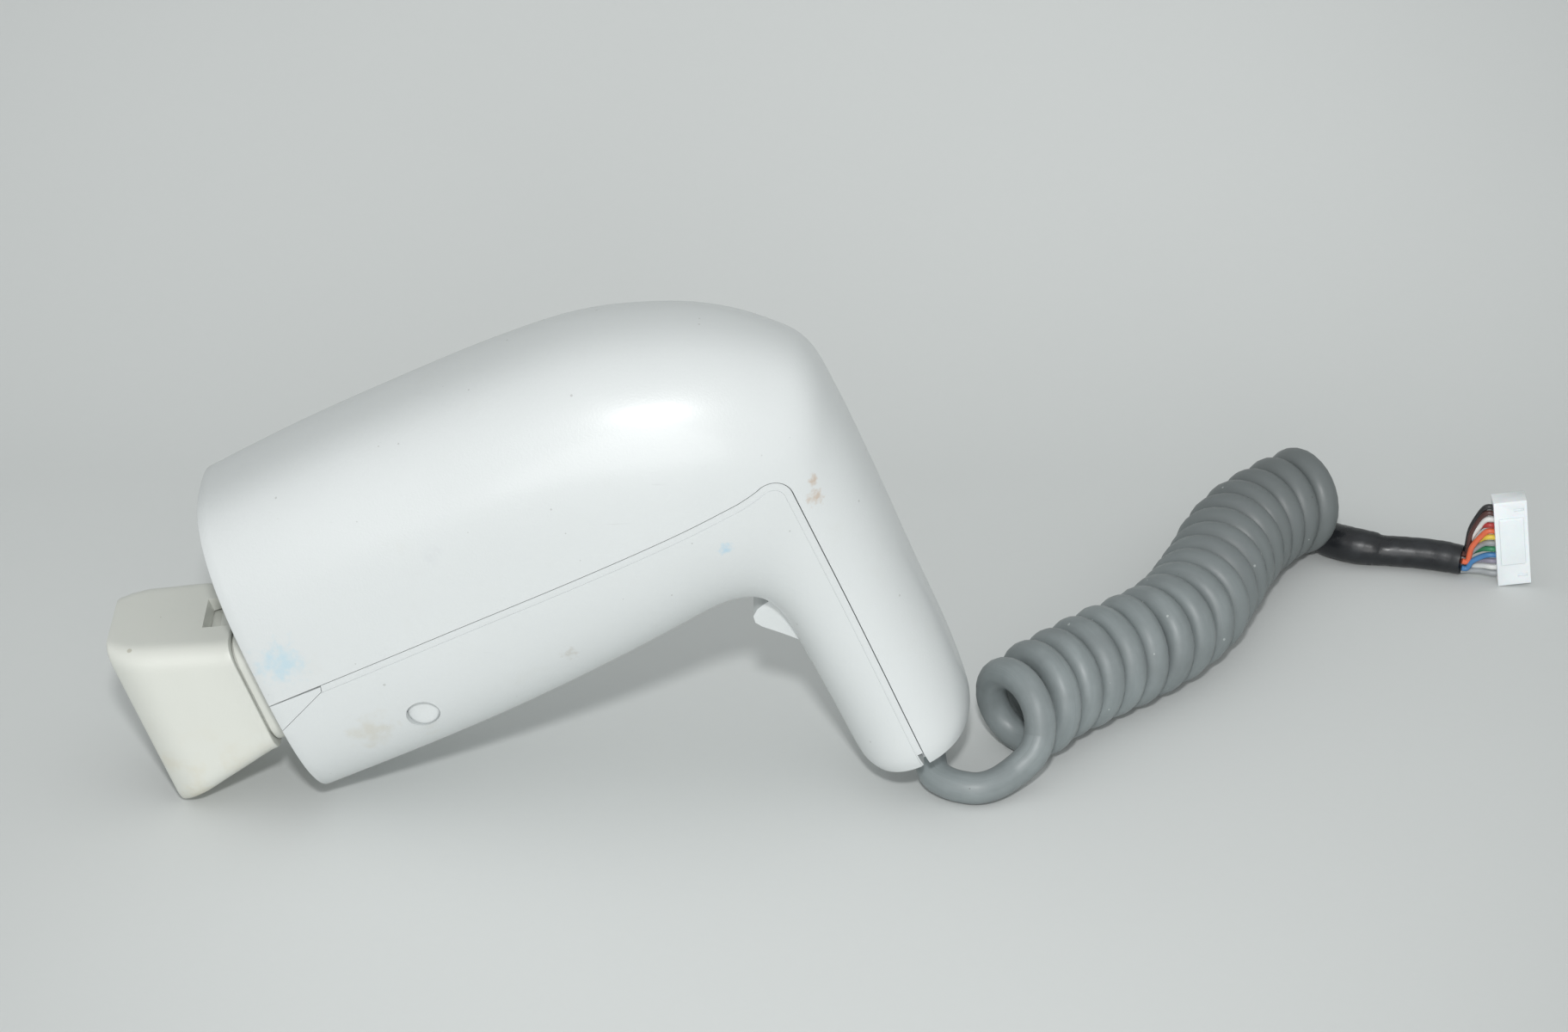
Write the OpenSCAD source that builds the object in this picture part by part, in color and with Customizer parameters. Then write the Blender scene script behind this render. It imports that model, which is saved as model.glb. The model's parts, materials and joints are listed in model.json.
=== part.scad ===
// Hair dryer handset with a curly cord, standing on its nozzle and its cord.
// The dryer frame has X rearwards along the barrel, Y to the far side and Z up
// from the barrel axis, with its origin at the middle of the mouth.

/* [Barrel] */
// Distance from the mouth to the middle of the handle
barrel_l = 131; // [120:1:158]
// Height of the mouth
mouth_h = 81; // [74:1:98]
// Width of the mouth
mouth_w = 57; // [52:1:69]
// Extra half width where the fan sits
fan_bulge = 2.5; // [1:0.5:6]
// Height of the crown above the barrel axis at the fan
crown_h = 42; // [40:1:50]
// Depth of the belly below the barrel axis at the fan
belly_d = 37.5; // [36.5:0.5:44]
// Backward lean of the mouth
mouth_lean = 4; // [0:1:6]
// Height of the joint line of the two housings below the barrel axis
joint_drop = 6.5; // [4:0.5:9]
// Thickness of the housing walls
wall = 2.2; // [1.8:0.1:2.8]
// Rise of the joint line from the mouth to the handle
joint_rise = 1.8; // [0:0.1:3]
// How far the joint line leans back up the handle
joint_slant = 2.5; // [0:0.1:4]
// Gap of the joint line between the two housings
seam = 0.3; // [0.2:0.05:0.4]

/* [Handle] */
// Thickness of the handle from front to back
handle_t = 32; // [29:1:39]
// Width of the handle
handle_w = 41; // [36:1:49]
// Length of the handle below the barrel axis
handle_l = 92; // [80:1:110]

/* [Nozzle] */
// Length of the nozzle from its base to its outlet
nozzle_l = 29; // [25:1:35]
// Height of the outlet slot's outside
outlet_h = 46.5; // [40:0.5:56]
// Width of the outlet slot's outside
outlet_w = 28.5; // [22:1:32]
// Thickness of the nozzle walls at the outlet
nozzle_wall = 2; // [1.5:0.1:3]

/* [Air path] */
// Outside width of the heater duct
duct_w = 33.6; // [30:0.2:36]
// Outside height of the heater duct
duct_h = 26.6; // [25:0.2:29]
// Thickness of the heater duct's walls
duct_wall = 1.5; // [1:0.1:2]
// Length of the spigot that the nozzle pushes onto
spigot_l = 12; // [9:1:14]
// Radius of the heating wire's turns
coil_r = 10.2; // [8:0.2:10.4]
// Turns of the heating wire
coil_turns = 7; // [4:1:10]
// Outside radius of the fan wheel
fan_r = 25; // [21:0.5:26]
// Number of blades on the fan wheel
fan_blades = 26; // [16:1:30]
// Radius of the motor
motor_r = 13; // [11:0.5:14]
// Radius of the motor shaft
shaft_r = 1; // [0.8:0.1:1.2]

/* [Trigger] */
// Width of the trigger
trigger_w = 13.2; // [11:0.2:16]
// Radius of the trigger's hinge pin
pin_r = 1.2; // [1:0.1:1.5]
// Gap around the trigger in its opening
trigger_gap = 0.4; // [0.3:0.1:0.8]

/* [Fasteners] */
// Radius of the recesses that hold the front screws
recess_r = 4; // [3.4:0.1:4.4]
// Radius of the shank of the front screws
screw_r = 1.5; // [1.2:0.1:1.7]

/* [Cord] */
// Diameter of the curly cord
cord_d = 7.8; // [6.6:0.2:8]
// Outside diameter of the cord's curls
curl_d = 28; // [24:0.5:28]
// Height of the plug's housing
plug_h = 24.6; // [22:0.2:30]

/* [Stand] */
// Angle between the barrel and the surface that the dryer stands on
tilt = 25; // [22:1:27]

/* [Hidden] */

// Roundness of curves that fit other pieces, and of blended shapes
fine = 64;
blend = 32;
eps = 0.01;
clear = 0.3;

// Places along the barrel and the handle
joint_z = -joint_drop;
handle_front = barrel_l - handle_t / 2;
handle_back = barrel_l + handle_t / 2;
joint_x = barrel_l + 1;
end_wall = 2.5;
cord_r = cord_d / 2;
exit_x = barrel_l;

// The fan, its casing and its neck
fan_x = barrel_l - 34;
fan_z = (crown_h - belly_d) / 2;
casing_gap = 4.4;
casing_wall = 1.6;
casing_r = fan_r + casing_gap + casing_wall;
casing_y = 16;
neck_x = fan_x - 37;
neck_h = 30;
eye_r = fan_r - 9;
wheel_y0 = -7.9;
wheel_y1 = 12;

// The duct, its axis and what seats on it, in the mouth's own frame
duct_z = -8.5;
collar_x = -6;
collar_t = 2.6;
collar_lip = 1.2;
duct_back = neck_x - 2.6;
duct_corner = 5;
outlet_x = collar_x - nozzle_l;
nozzle_side = 2.2;
base_w = duct_w + 2 * nozzle_side;
base_h = duct_h + 2 * nozzle_side;

// The trigger's hinge and what it presses
hinge = [handle_front + 6, -handle_l + 30];
plunger_z = hinge.y + 16;
switch_x = hinge.x + 5;

// The front screws and the clamp's screws
screw_x = 31;
screw_z = -24.5;
screw_floor = 1.4;
lug_t = 2.8;
screw_seat = duct_w / 2 + 2 * clear + lug_t + screw_floor;
head_h = 1.8;
clamp_z = -handle_l + 10;
clamp_y = 8;

// Sections of the housing from the mouth to the end of the handle. Each one gives
// its bottom or inner point, its top or outer point, its half width and how square it is
half_h = mouth_h / 2;
half_w = mouth_w / 2;
mid_w = half_w + fan_bulge;
grip_w = handle_w / 2;
lean_x = half_h * sin(mouth_lean);
lean_z = half_h * cos(mouth_lean);
SECTIONS = [
    [-lean_x, -lean_z, lean_x, lean_z, half_w, 2.8],
    [0.19 * barrel_l, -half_h, 0.21 * barrel_l, half_h + 1.4, half_w + 1, 2.8],
    [0.38 * barrel_l, -half_h + 0.4, 0.41 * barrel_l, crown_h + 0.5, mid_w - 0.8, 2.7],
    [0.55 * barrel_l, -belly_d - 1.2, 0.61 * barrel_l, crown_h + 0.3, mid_w, 2.6],
    [0.69 * barrel_l, -belly_d + 0.4, 0.77 * barrel_l, crown_h - 1.5, mid_w, 2.5],
    [0.77 * barrel_l, -belly_d + 1.4, 0.9 * barrel_l, crown_h - 6.5, mid_w - 0.8, 2.4],
    [handle_front - 7.5, -belly_d + 1, barrel_l, crown_h - 13, mid_w - 2.5, 2.4],
    [handle_front - 2.8, -belly_d - 2, handle_back - 5.5, crown_h - 21, mid_w - 4.5, 2.3],
    [handle_front - 0.6, -belly_d - 7.5, handle_back + 1.2, crown_h - 30, mid_w - 6.5, 2.3],
    [handle_front, -belly_d - 17, handle_back + 2.5, crown_h - 44, grip_w + 2.5, 2.2],
    [handle_front, -0.7 * handle_l, handle_back + 2, -0.28 * handle_l, grip_w + 1, 2.2],
    [handle_front, -0.81 * handle_l, handle_back + 1, -0.54 * handle_l, grip_w + 0.3, 2.1],
    [handle_front, -0.9 * handle_l, handle_back + 0.2, -0.77 * handle_l, grip_w, 2.1],
    [handle_front + 0.3, -handle_l + 3, handle_back - 1.5, -handle_l + 6, grip_w - 0.4, 2.1],
    [handle_front + 1.6, -handle_l, handle_back - 4, -handle_l, grip_w - 1.8, 2.1]
];

// The cord's routes: X from the place where the cord leaves the handle, Y, and height
LEAD = [
    [0.8, -1.4, 11], [1.2, -4.6, 7.6], [2.2, -7.6, 5.2], [5.4, -10.2, 4.2],
    [9.4, -11.8, 3.9], [13, -12.2, 3.9], [17, -10.8, 4.4], [21, -8, 5.6],
    [24.4, -5, 7.8], [26.8, -2.6, 10.6], [28, -1.4, 13.8]
];
CURLS = [
    [19, 6], [28, 15], [36.5, 23.5], [49.5, 35.5], [56.5, 41.5], [62.5, 48.5], [68, 56.5],
    [72.5, 66.5], [76.5, 76.5], [80.5, 87.5], [85.5, 98.5], [92.5, 108.5], [100, 116],
    [109, 123.5]
];
SLEEVE = [
    [108.5, 115.5, 4.6, 4.5], [112, 112.5, 4.7, 4.7], [117, 109.8, 4.7, 4.7],
    [121.5, 108.8, 4.4, 4.4], [124, 108.4, 4.1, 4], [133, 107, 4.1, 4],
    [140, 105, 4.1, 4], [144.5, 103.2, 4, 3.8]
];
sleeve_end = [144.5, 103.2, 4];
plug_at = [157.6, 98.8];
plug_lean = -7;
plug_w = 8.6;
plug_t = 5.4;
wire_d = 1.5;
// The wires in the sleeve's end, from the top one down: radius and angle of each
BUNDLE = [
    [2.75, 67.5], [2.75, 112.5], [1.15, 90], [2.75, 22.5], [2.75, 157.5], [1.15, 0],
    [1.15, 180], [2.75, -22.5], [2.75, 202.5], [1.15, -90], [2.75, -67.5], [2.75, 247.5]
];
wires = len(BUNDLE);

function signed_pow(v, e) = sign(v) * pow(abs(v), e);
function turned(p, a) = [p.x * cos(a) - p.y * sin(a), p.x * sin(a) + p.y * cos(a)];

// A smooth curve through rows of numbers, with a given number of steps in each span
function between(a, b, c, d, t) = 0.5 * (2 * b + (c - a) * t
    + (2 * a - 5 * b + 4 * c - d) * t * t + (3 * b - a - 3 * c + d) * t * t * t);
function smooth(rows, steps) = let (n = len(rows)) concat(
    [for (i = [0:n - 2], k = [0:steps - 1])
        between(rows[max(i - 1, 0)], rows[i], rows[i + 1], rows[min(i + 2, n - 1)], k / steps)],
    [rows[n - 1]]);

// One oval section of the housing, moved inwards by an inset
function oval(s, inset, sides) = let (
    low = [s[0], s[1]], high = [s[2], s[3]], mid = (low + high) / 2,
    half = norm(high - low) / 2, up = (high - low) / (2 * half), e = 2 / s[5])
    [for (k = [0:sides - 1]) let (
        a = 360 * k / sides,
        y = (s[4] - inset) * signed_pow(cos(a), e),
        h = (half - inset) * signed_pow(sin(a), e))
        [mid.x + up.x * h, y, mid.y + up.y * h]];

// A closed skin over rings that all have the same number of points
module skin(rings) {
    n = len(rings[0]);
    m = len(rings);
    polyhedron(
        points = [for (r = rings) each r],
        faces = concat(
            [[for (k = [0:n - 1]) k]],
            [[for (k = [n - 1:-1:0]) (m - 1) * n + k]],
            [for (i = [0:m - 2], k = [0:n - 1])
                [i * n + k, (i + 1) * n + k, (i + 1) * n + (k + 1) % n, i * n + (k + 1) % n]]));
}

// A round tube swept along a route, with its radius at each point
function route_way(p, i) = let (
    d = p[min(i + 1, len(p) - 1)] - p[max(i - 1, 0)]) d / norm(d);
module sweep(route, radii, sides) {
    skin([for (i = [0:len(route) - 1]) let (
        w = route_way(route, i),
        side = [w.y, -w.x, 0] / norm([w.x, w.y]),
        top = cross(side, w))
        [for (k = [0:sides - 1]) let (a = -360 * k / sides)
            route[i] + radii[i] * (side * cos(a) + top * sin(a))]]);
}

// Where the dryer stands: its lowest edge is at zero, and it is centred on X
nose_tilt = tilt - mouth_lean;
nose_low = turned([outlet_x, duct_z - outlet_h / 2], nose_tilt);
nose_top = turned([outlet_x, duct_z + outlet_h / 2], nose_tilt);
shell_path = smooth(SECTIONS, 3);
heel_x = max([for (s = shell_path) turned([s[2], s[3]], tilt).x]);
lift = -nose_low.y;
shift = -(nose_top.x + heel_x) / 2;
exit_at = turned([exit_x, -handle_l - 1], tilt) + [shift, lift];
start_at = turned([exit_x, -handle_l + 14], tilt) + [shift, lift];
function on_floor(p) = [exit_at.x + p[0], p[1], p[2]];

module stand() {
    translate([shift, 0, lift]) rotate([0, -tilt, 0]) children();
}
module in_mouth() {
    stand() rotate([0, mouth_lean, 0]) children();
}

// Turned shapes: a rod along Y and a rounded plate that faces along X
module rod_y(r, y0, y1) {
    translate([0, y1, 0]) rotate([90, 0, 0]) cylinder(r = r, h = y1 - y0, $fn = fine);
}
module rod_x(r, x0, x1) {
    translate([x0, 0, 0]) rotate([0, 90, 0]) cylinder(r = r, h = x1 - x0, $fn = fine);
}
module rounded(w, h, r) {
    square([w - 2 * r, h], center = true);
    square([w, h - 2 * r], center = true);
    for (sy = [-1, 1], sz = [-1, 1])
        translate([sy * (w / 2 - r), sz * (h / 2 - r)]) circle(r = r, $fn = fine);
}
module facing_x(x, t) {
    translate([x, 0, duct_z]) rotate([90, 0, 90]) linear_extrude(t) children();
}
module slab_y(y0, y1) {
    translate([0, y1, 0]) rotate([90, 0, 0]) linear_extrude(y1 - y0) children();
}

// --- Housings ---------------------------------------------------------------

module outside() {
    skin([for (s = shell_path) oval(s, 0, 40)]);
}
// The hollow runs on through the mouth and stops short of the handle's end
module hollow() {
    rows = [for (k = [0:len(SECTIONS) - 1]) let (s = SECTIONS[k])
        k == 0 ? s + [-1, 0, -1, 0, 0, 0]
        : k == len(SECTIONS) - 1 ? s + [-0.8, end_wall, 0.8, end_wall, 0.8, 0] : s];
    skin([for (s = smooth(rows, 2)) oval(s, wall, 28)]);
}
// Side view of the lower housing, grown by a gap
module lower_area(grow) {
    bump = 5;
    corner = [joint_x + joint_slant - bump, joint_z + joint_rise - bump + 1];
    polygon([
        [-30, -handle_l - 30], [joint_x + grow, -handle_l - 30], [joint_x + grow, -handle_l],
        [corner.x + bump + grow, corner.y], [corner.x, joint_z + joint_rise + grow],
        [0, joint_z + grow], [-30, joint_z + grow]]);
    translate(corner) circle(r = bump + grow, $fn = fine);
}
// Side view of the corner clip below the joint line at the mouth
module clip_area(grow) {
    polygon([
        [-15, joint_z + seam], [13.4 + grow, joint_z + seam],
        [12.8 + grow, joint_z - 1.4 - grow], [0.6 + grow, joint_z - 6.8 - grow],
        [-15, joint_z - 13.5 - grow]]);
}
// Along each front screw, with Z outwards from the middle of the dryer
module at_screws() {
    for (s = [-1, 1]) translate([screw_x, 0, screw_z]) rotate([-s * 90, 0, 0]) children();
}
module at_clamp_screws() {
    for (s = [-1, 1]) translate([0, s * clamp_y, clamp_z]) children();
}
// Material that stands in the hollow of the lower housing
module lower_bosses() {
    at_screws() translate([0, 0, screw_seat - screw_floor])
        cylinder(r = recess_r + 1.6, h = 40, $fn = fine);
    at_clamp_screws() rod_x(3, handle_front, joint_x - 2);
    for (s = [-1, 1])
        translate([handle_front, s * (trigger_w / 2 + 1.6) - 1.2, hinge.y - 3])
            cube([hinge.x - handle_front + 3, 2.4, 6]);
}
module lower_cuts() {
    at_screws() translate([0, 0, screw_seat]) {
        cylinder(r = recess_r, h = 40, $fn = fine);
        translate([0, 0, -3]) cylinder(r = screw_r + 0.2, h = 5, $fn = fine);
    }
    at_clamp_screws() rod_x(screw_r - 0.3, handle_front + 2.5, joint_x + 5);
    translate([hinge.x, 0, hinge.y]) rod_y(pin_r, -trigger_w / 2 - 4, trigger_w / 2 + 4);
    slab_y(-trigger_w / 2 - trigger_gap, trigger_w / 2 + trigger_gap) polygon([
        [handle_front - 12, -belly_d - 1.4], [hinge.x + 4, -belly_d - 1.4],
        [hinge.x + 4, hinge.y + 1], [handle_front - 12, hinge.y + 1]]);
    end_cuts();
}
// The cord's hole in the end wall, and the notches that a blade goes into
module end_cuts() {
    translate([exit_x, 0, -handle_l - 5]) cylinder(r = cord_r + 1.3, h = 12, $fn = fine);
    for (s = [-1, 1])
        translate([joint_x - 1.4, s * (grip_w - 3) - 3, -handle_l - 1]) cube([1.6, 6, 5]);
}
module lower_housing() {
    color("#e4e8e6") stand() difference() {
        intersection() {
            outside();
            slab_y(-70, 70) lower_area(-seam / 2);
        }
        difference() {
            hollow();
            lower_bosses();
        }
        slab_y(-70, 70) clip_area(seam / 2);
        lower_cuts();
    }
}
module corner_clips() {
    color("#e9eceb") stand() difference() {
        intersection() {
            outside();
            slab_y(-70, 70) difference() {
                clip_area(-seam / 2);
                translate([-30, joint_z - seam / 2]) square([80, 20]);
            }
        }
        hollow();
        translate([-20, -half_w + 8, -40]) cube([60, mouth_w - 16, 60]);
    }
}
// Air slots in the far side of the upper housing
slot_l = 38;
slot_h = 2.4;
slot_pitch = 4.2;
slots = 6;
slot_z = joint_z + 4.5;
// Lugs inside the upper housing that hang past the joint line and take the screws
module screw_lugs() {
    low = screw_seat - screw_floor - clear - lug_t;
    for (s = [0, 1]) mirror([0, s, 0]) {
        translate([screw_x - 4, low, screw_z - 4]) cube([8, lug_t, joint_z - screw_z + 9]);
        translate([screw_x - 4, low, joint_z + 1]) cube([8, half_w - 0.5 - low, 4]);
    }
}
module upper_housing() {
    color("#e6eae8") stand() difference() {
        union() {
            difference() {
                outside();
                hollow();
                slab_y(-70, 70) lower_area(seam / 2);
            }
            screw_lugs();
        }
        at_screws() translate([0, 0, screw_seat - 8]) cylinder(r = screw_r, h = 8, $fn = fine);
        for (k = [0:slots - 1])
            translate([fan_x - slot_l / 2, mid_w - 12, slot_z + k * slot_pitch])
                cube([slot_l, 30, slot_h]);
        end_cuts();
    }
}

// --- Nozzle and duct --------------------------------------------------------

module mouth_outline(inset) {
    e = 2 / SECTIONS[0][5];
    polygon([for (k = [0:47]) let (a = 7.5 * k)
        [(half_w - inset) * signed_pow(cos(a), e), (half_h - inset) * signed_pow(sin(a), e)]]);
}
// A plate set back in the mouth, with slots for cooling air round the duct
module mouth_plate() {
    color("#dfe3e0") in_mouth() translate([3, 0, 0]) rotate([90, 0, 90]) linear_extrude(1.8)
        difference() {
            mouth_outline(wall + clear);
            translate([0, duct_z]) rounded(duct_w, duct_h, duct_corner);
            for (k = [-3:3]) {
                translate([k * 5 - 1, duct_z + duct_h / 2 + 6]) square([2, 14]);
                translate([k * 5 - 1, duct_z - duct_h / 2 - 14]) square([2, 9]);
            }
        }
}
module nozzle_outside() {
    hull() {
        facing_x(collar_x - 1.5, 1.5) rounded(base_w, base_h, 5, $fn = blend);
        facing_x(outlet_x + 5, 0.5)
            rounded(base_w - 2, outlet_h - 1.4, 5, $fn = blend);
        facing_x(outlet_x, 0.5) rounded(outlet_w, outlet_h, 4, $fn = blend);
    }
}
module nozzle() {
    inner_w = outlet_w - 2 * nozzle_wall;
    inner_h = outlet_h - 2 * nozzle_wall;
    color("#e2e4d9") in_mouth() difference() {
        nozzle_outside();
        facing_x(collar_x - spigot_l - clear, spigot_l + 5)
            rounded(duct_w + 2 * clear, duct_h + 2 * clear, duct_corner + clear);
        hull() {
            facing_x(collar_x - spigot_l - 1, 1) rounded(duct_w - 2, duct_h - 2, 4, $fn = blend);
            facing_x(outlet_x - 1, 0.5) rounded(inner_w, inner_h, 2.5, $fn = blend);
        }
        translate([collar_x - 7, -7, duct_z + duct_h / 2 - 1]) cube([9, 14, 12]);
    }
}
// The collar's ring stops the nozzle, and its tongue stands in the nozzle's notch
module nozzle_collar() {
    color("#eceee8") in_mouth() {
        facing_x(collar_x + clear, collar_t) difference() {
            rounded(duct_w + 2 * collar_lip, duct_h + 2 * collar_lip, duct_corner + collar_lip);
            rounded(duct_w, duct_h, duct_corner);
        }
        translate([collar_x - 4, -5, duct_z + duct_h / 2]) cube([4 + 2 * clear, 10, 1.2]);
    }
}
module heater_duct() {
    color("#dfe1d6") in_mouth() facing_x(collar_x - spigot_l, duct_back - collar_x + spigot_l)
        difference() {
            rounded(duct_w, duct_h, duct_corner);
            rounded(duct_w - 2 * duct_wall, duct_h - 2 * duct_wall, duct_corner - duct_wall);
        }
}
module outlet_grille() {
    bar = 1.1;
    w = duct_w - 2 * duct_wall;
    h = duct_h - 2 * duct_wall;
    color("#2f2f2e") in_mouth() facing_x(collar_x - spigot_l + 2, 1.4) intersection() {
        rounded(w, h, duct_corner - duct_wall);
        union() {
            difference() {
                square([w, h], center = true);
                rounded(w - 3, h - 3, duct_corner - duct_wall - 1);
            }
            for (k = [-3:3]) translate([k * w / 8, 0]) square([bar, h], center = true);
            for (k = [-2:2]) translate([0, k * h / 6]) square([w, bar], center = true);
        }
    }
}
heater_x0 = -4;
heater_l = 52;
module mica_boards() {
    half = coil_r - 0.9;
    color("#b9a77d") in_mouth() translate([heater_x0, 0, duct_z]) {
        translate([0, -0.4, -half]) cube([heater_l, 0.8, 2 * half]);
        translate([0, -half, -0.4]) cube([heater_l, 2 * half, 0.8]);
    }
}
module heating_wire() {
    steps = coil_turns * 16;
    color("#9a9690") in_mouth() skin([for (i = [0:steps]) let (
        a = 360 * i / 16, x = heater_x0 + 4 + (heater_l - 8) * i / steps)
        [for (k = [0:5]) let (b = -60 * k, r = coil_r + 0.55 * cos(b))
            [x + 0.55 * sin(b), r * cos(a), duct_z + r * sin(a)]]]);
}
module thermostat() {
    color("#c9c6bc") in_mouth() translate([heater_x0 + 8, 0.4, duct_z + 0.4]) cube([9, 5, 5]);
}
module thermal_fuse() {
    color("#d8c9a0") in_mouth() translate([0, -2, duct_z + 2]) rod_x(1.6, 14, 25);
}

// --- Fan and motor ----------------------------------------------------------

module casing_area(inset) {
    translate([fan_x, fan_z]) circle(r = casing_r - inset, $fn = fine);
    translate([neck_x, fan_z - casing_r + inset]) square([fan_x - neck_x, neck_h - 2 * inset]);
}
module fan_casing() {
    color("#c8ccca") stand() difference() {
        slab_y(-casing_y, casing_y - casing_wall) casing_area(0);
        slab_y(-casing_y + casing_wall, casing_y) casing_area(casing_wall);
        translate([neck_x - 1, -casing_y + casing_wall, fan_z - casing_r + casing_wall])
            cube([10, 2 * casing_y, neck_h - 2 * casing_wall]);
        translate([fan_x, 0, fan_z]) rod_y(motor_r, -casing_y - 1, 0);
    }
}
module fan_cover() {
    color("#d3d7d4") stand() {
        difference() {
            slab_y(casing_y - casing_wall, casing_y) casing_area(0);
            translate([fan_x, 0, fan_z]) rod_y(eye_r, 0, casing_y + 1);
        }
        translate([fan_x, 0, fan_z]) difference() {
            rod_y(eye_r + 1.5, casing_y, casing_y + 2);
            rod_y(eye_r, casing_y - 1, casing_y + 3);
        }
    }
}
module fan_wheel() {
    blade_in = eye_r + 1;
    color("#4a4f52") stand() translate([fan_x, 0, fan_z]) {
        difference() {
            union() {
                rod_y(fan_r, wheel_y0, wheel_y0 + 1.2);
                rod_y(3.5, wheel_y0, 3);
            }
            rod_y(shaft_r, wheel_y0 - 1, 4);
        }
        for (k = [0:fan_blades - 1])
            rotate([0, k * 360 / fan_blades, 0])
                slab_y(wheel_y0 + 1, wheel_y1 - 0.8) polygon([
                    [blade_in, -0.4], [fan_r - 3.6, 1.2], [fan_r - 0.4, 3.4],
                    [fan_r - 0.9, 4], [fan_r - 4, 2.1], [blade_in, 0.5]]);
        difference() {
            rod_y(fan_r, wheel_y1 - 1, wheel_y1);
            rod_y(blade_in, wheel_y1 - 2, wheel_y1 + 1);
        }
    }
}
motor_y0 = -27;
motor_y1 = wheel_y0 - 1.5;
module motor_can() {
    color("#8d9194") stand() translate([fan_x, 0, fan_z]) difference() {
        rod_y(motor_r, motor_y0 + 3, motor_y1);
        rod_y(motor_r - 1, motor_y0 + 2, motor_y1 - 1);
        rod_y(3, motor_y1 - 2, motor_y1 + 1);
    }
}
module motor_end_cap() {
    color("#2c2d2e") stand() translate([fan_x, 0, fan_z]) difference() {
        rod_y(motor_r, motor_y0, motor_y0 + 3);
        rod_y(shaft_r + 0.05, motor_y0 + 1, motor_y0 + 4);
    }
}
module motor_shaft() {
    color("#b8bcbe") stand() translate([fan_x, 0, fan_z]) rod_y(shaft_r, motor_y0 + 1.3, 3);
}
module shaft_bush() {
    color("#a8794a") stand() translate([fan_x, 0, fan_z]) difference() {
        rod_y(3, motor_y1 - 3, motor_y1 + 0.8);
        rod_y(shaft_r + 0.05, motor_y1 - 4, motor_y1 + 2);
    }
}
// A framed mesh behind the air slots
module lint_screen() {
    w = slot_l + 3;
    h = slots * slot_pitch + 2;
    color("#55595b") stand() translate([fan_x, 0, slot_z + h / 2 - 3.5])
        slab_y(casing_y + 2.2, casing_y + 3.2) {
            difference() {
                square([w, h], center = true);
                square([w - 4, h - 4], center = true);
            }
            for (k = [-7:7]) translate([k * w / 16, 0]) square([0.6, h - 2], center = true);
            for (k = [-4:4]) translate([0, k * h / 10]) square([w - 2, 0.6], center = true);
        }
}

// --- Trigger and switch -----------------------------------------------------

// Side view of the trigger, in which the handle's front face is at X = 0
module trigger_side() {
    translate([handle_front, 0]) polygon([
        [0.4, hinge.y + 1.5], [0.3, hinge.y + 8], [-2.6, hinge.y + 11.2],
        [-6.2, hinge.y + 14.9], [-7.3, hinge.y + 16.6], [-7, hinge.y + 18.4],
        [-5.2, hinge.y + 19.8],
        [-2, hinge.y + 20.6], [4.5, hinge.y + 20.4], [4.5, hinge.y + 18.2],
        [6.7, hinge.y + 17.6], [6.7, hinge.y + 14.4], [4.5, hinge.y + 13.6],
        [6, hinge.y], [3.4, hinge.y], [wall + 0.6, hinge.y + 1.5]]);
}
module trigger() {
    half = trigger_w / 2;
    color("#eef0ee") stand() difference() {
        union() {
            slab_y(-half, half) trigger_side();
            translate([hinge.x, 0, hinge.y]) rod_y(3, -half, 0.6);
        }
        translate([hinge.x, 0, hinge.y]) {
            rod_y(pin_r + 0.05, -half - 1, half + 1);
            rod_y(3.3, 0.6, half + 1);
        }
    }
}
module trigger_pin() {
    color("#b9bdbf") stand() translate([hinge.x, 0, hinge.y])
        rod_y(pin_r, -trigger_w / 2 - 2.8, trigger_w / 2 + 2.8);
}
// A wire spring wound on the pin, with one arm on the trigger
module trigger_spring() {
    wire = 0.35;
    turn_r = pin_r + 0.6;
    arm_x = turn_r + 0.2;
    color("#9fa4a6") stand() translate([hinge.x, 0, hinge.y]) {
        for (k = [0:4]) translate([0, 1.5 + 0.75 * k, 0]) rotate([90, 0, 0])
            rotate_extrude($fn = fine) translate([turn_r, 0]) circle(r = wire + 0.05, $fn = 16);
        translate([arm_x, 1.5, 0]) cylinder(r = wire, h = 12, $fn = 16);
        translate([arm_x, 4.5, -10]) cylinder(r = wire, h = 10, $fn = 16);
    }
}
switch_w = 6.4;
plunger_r = 1.3;
module switch_body() {
    color("#303234") stand() difference() {
        translate([switch_x, -switch_w / 2, plunger_z - 12]) cube([7, switch_w, 20]);
        translate([0, 0, plunger_z]) rod_x(plunger_r + 0.05, switch_x - 1, switch_x + 5);
    }
}
module switch_plunger() {
    color("#c23b30") stand() translate([0, 0, plunger_z])
        rod_x(plunger_r, handle_front + 6.8, switch_x + 2);
}

// --- Handle's insides -------------------------------------------------------

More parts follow.
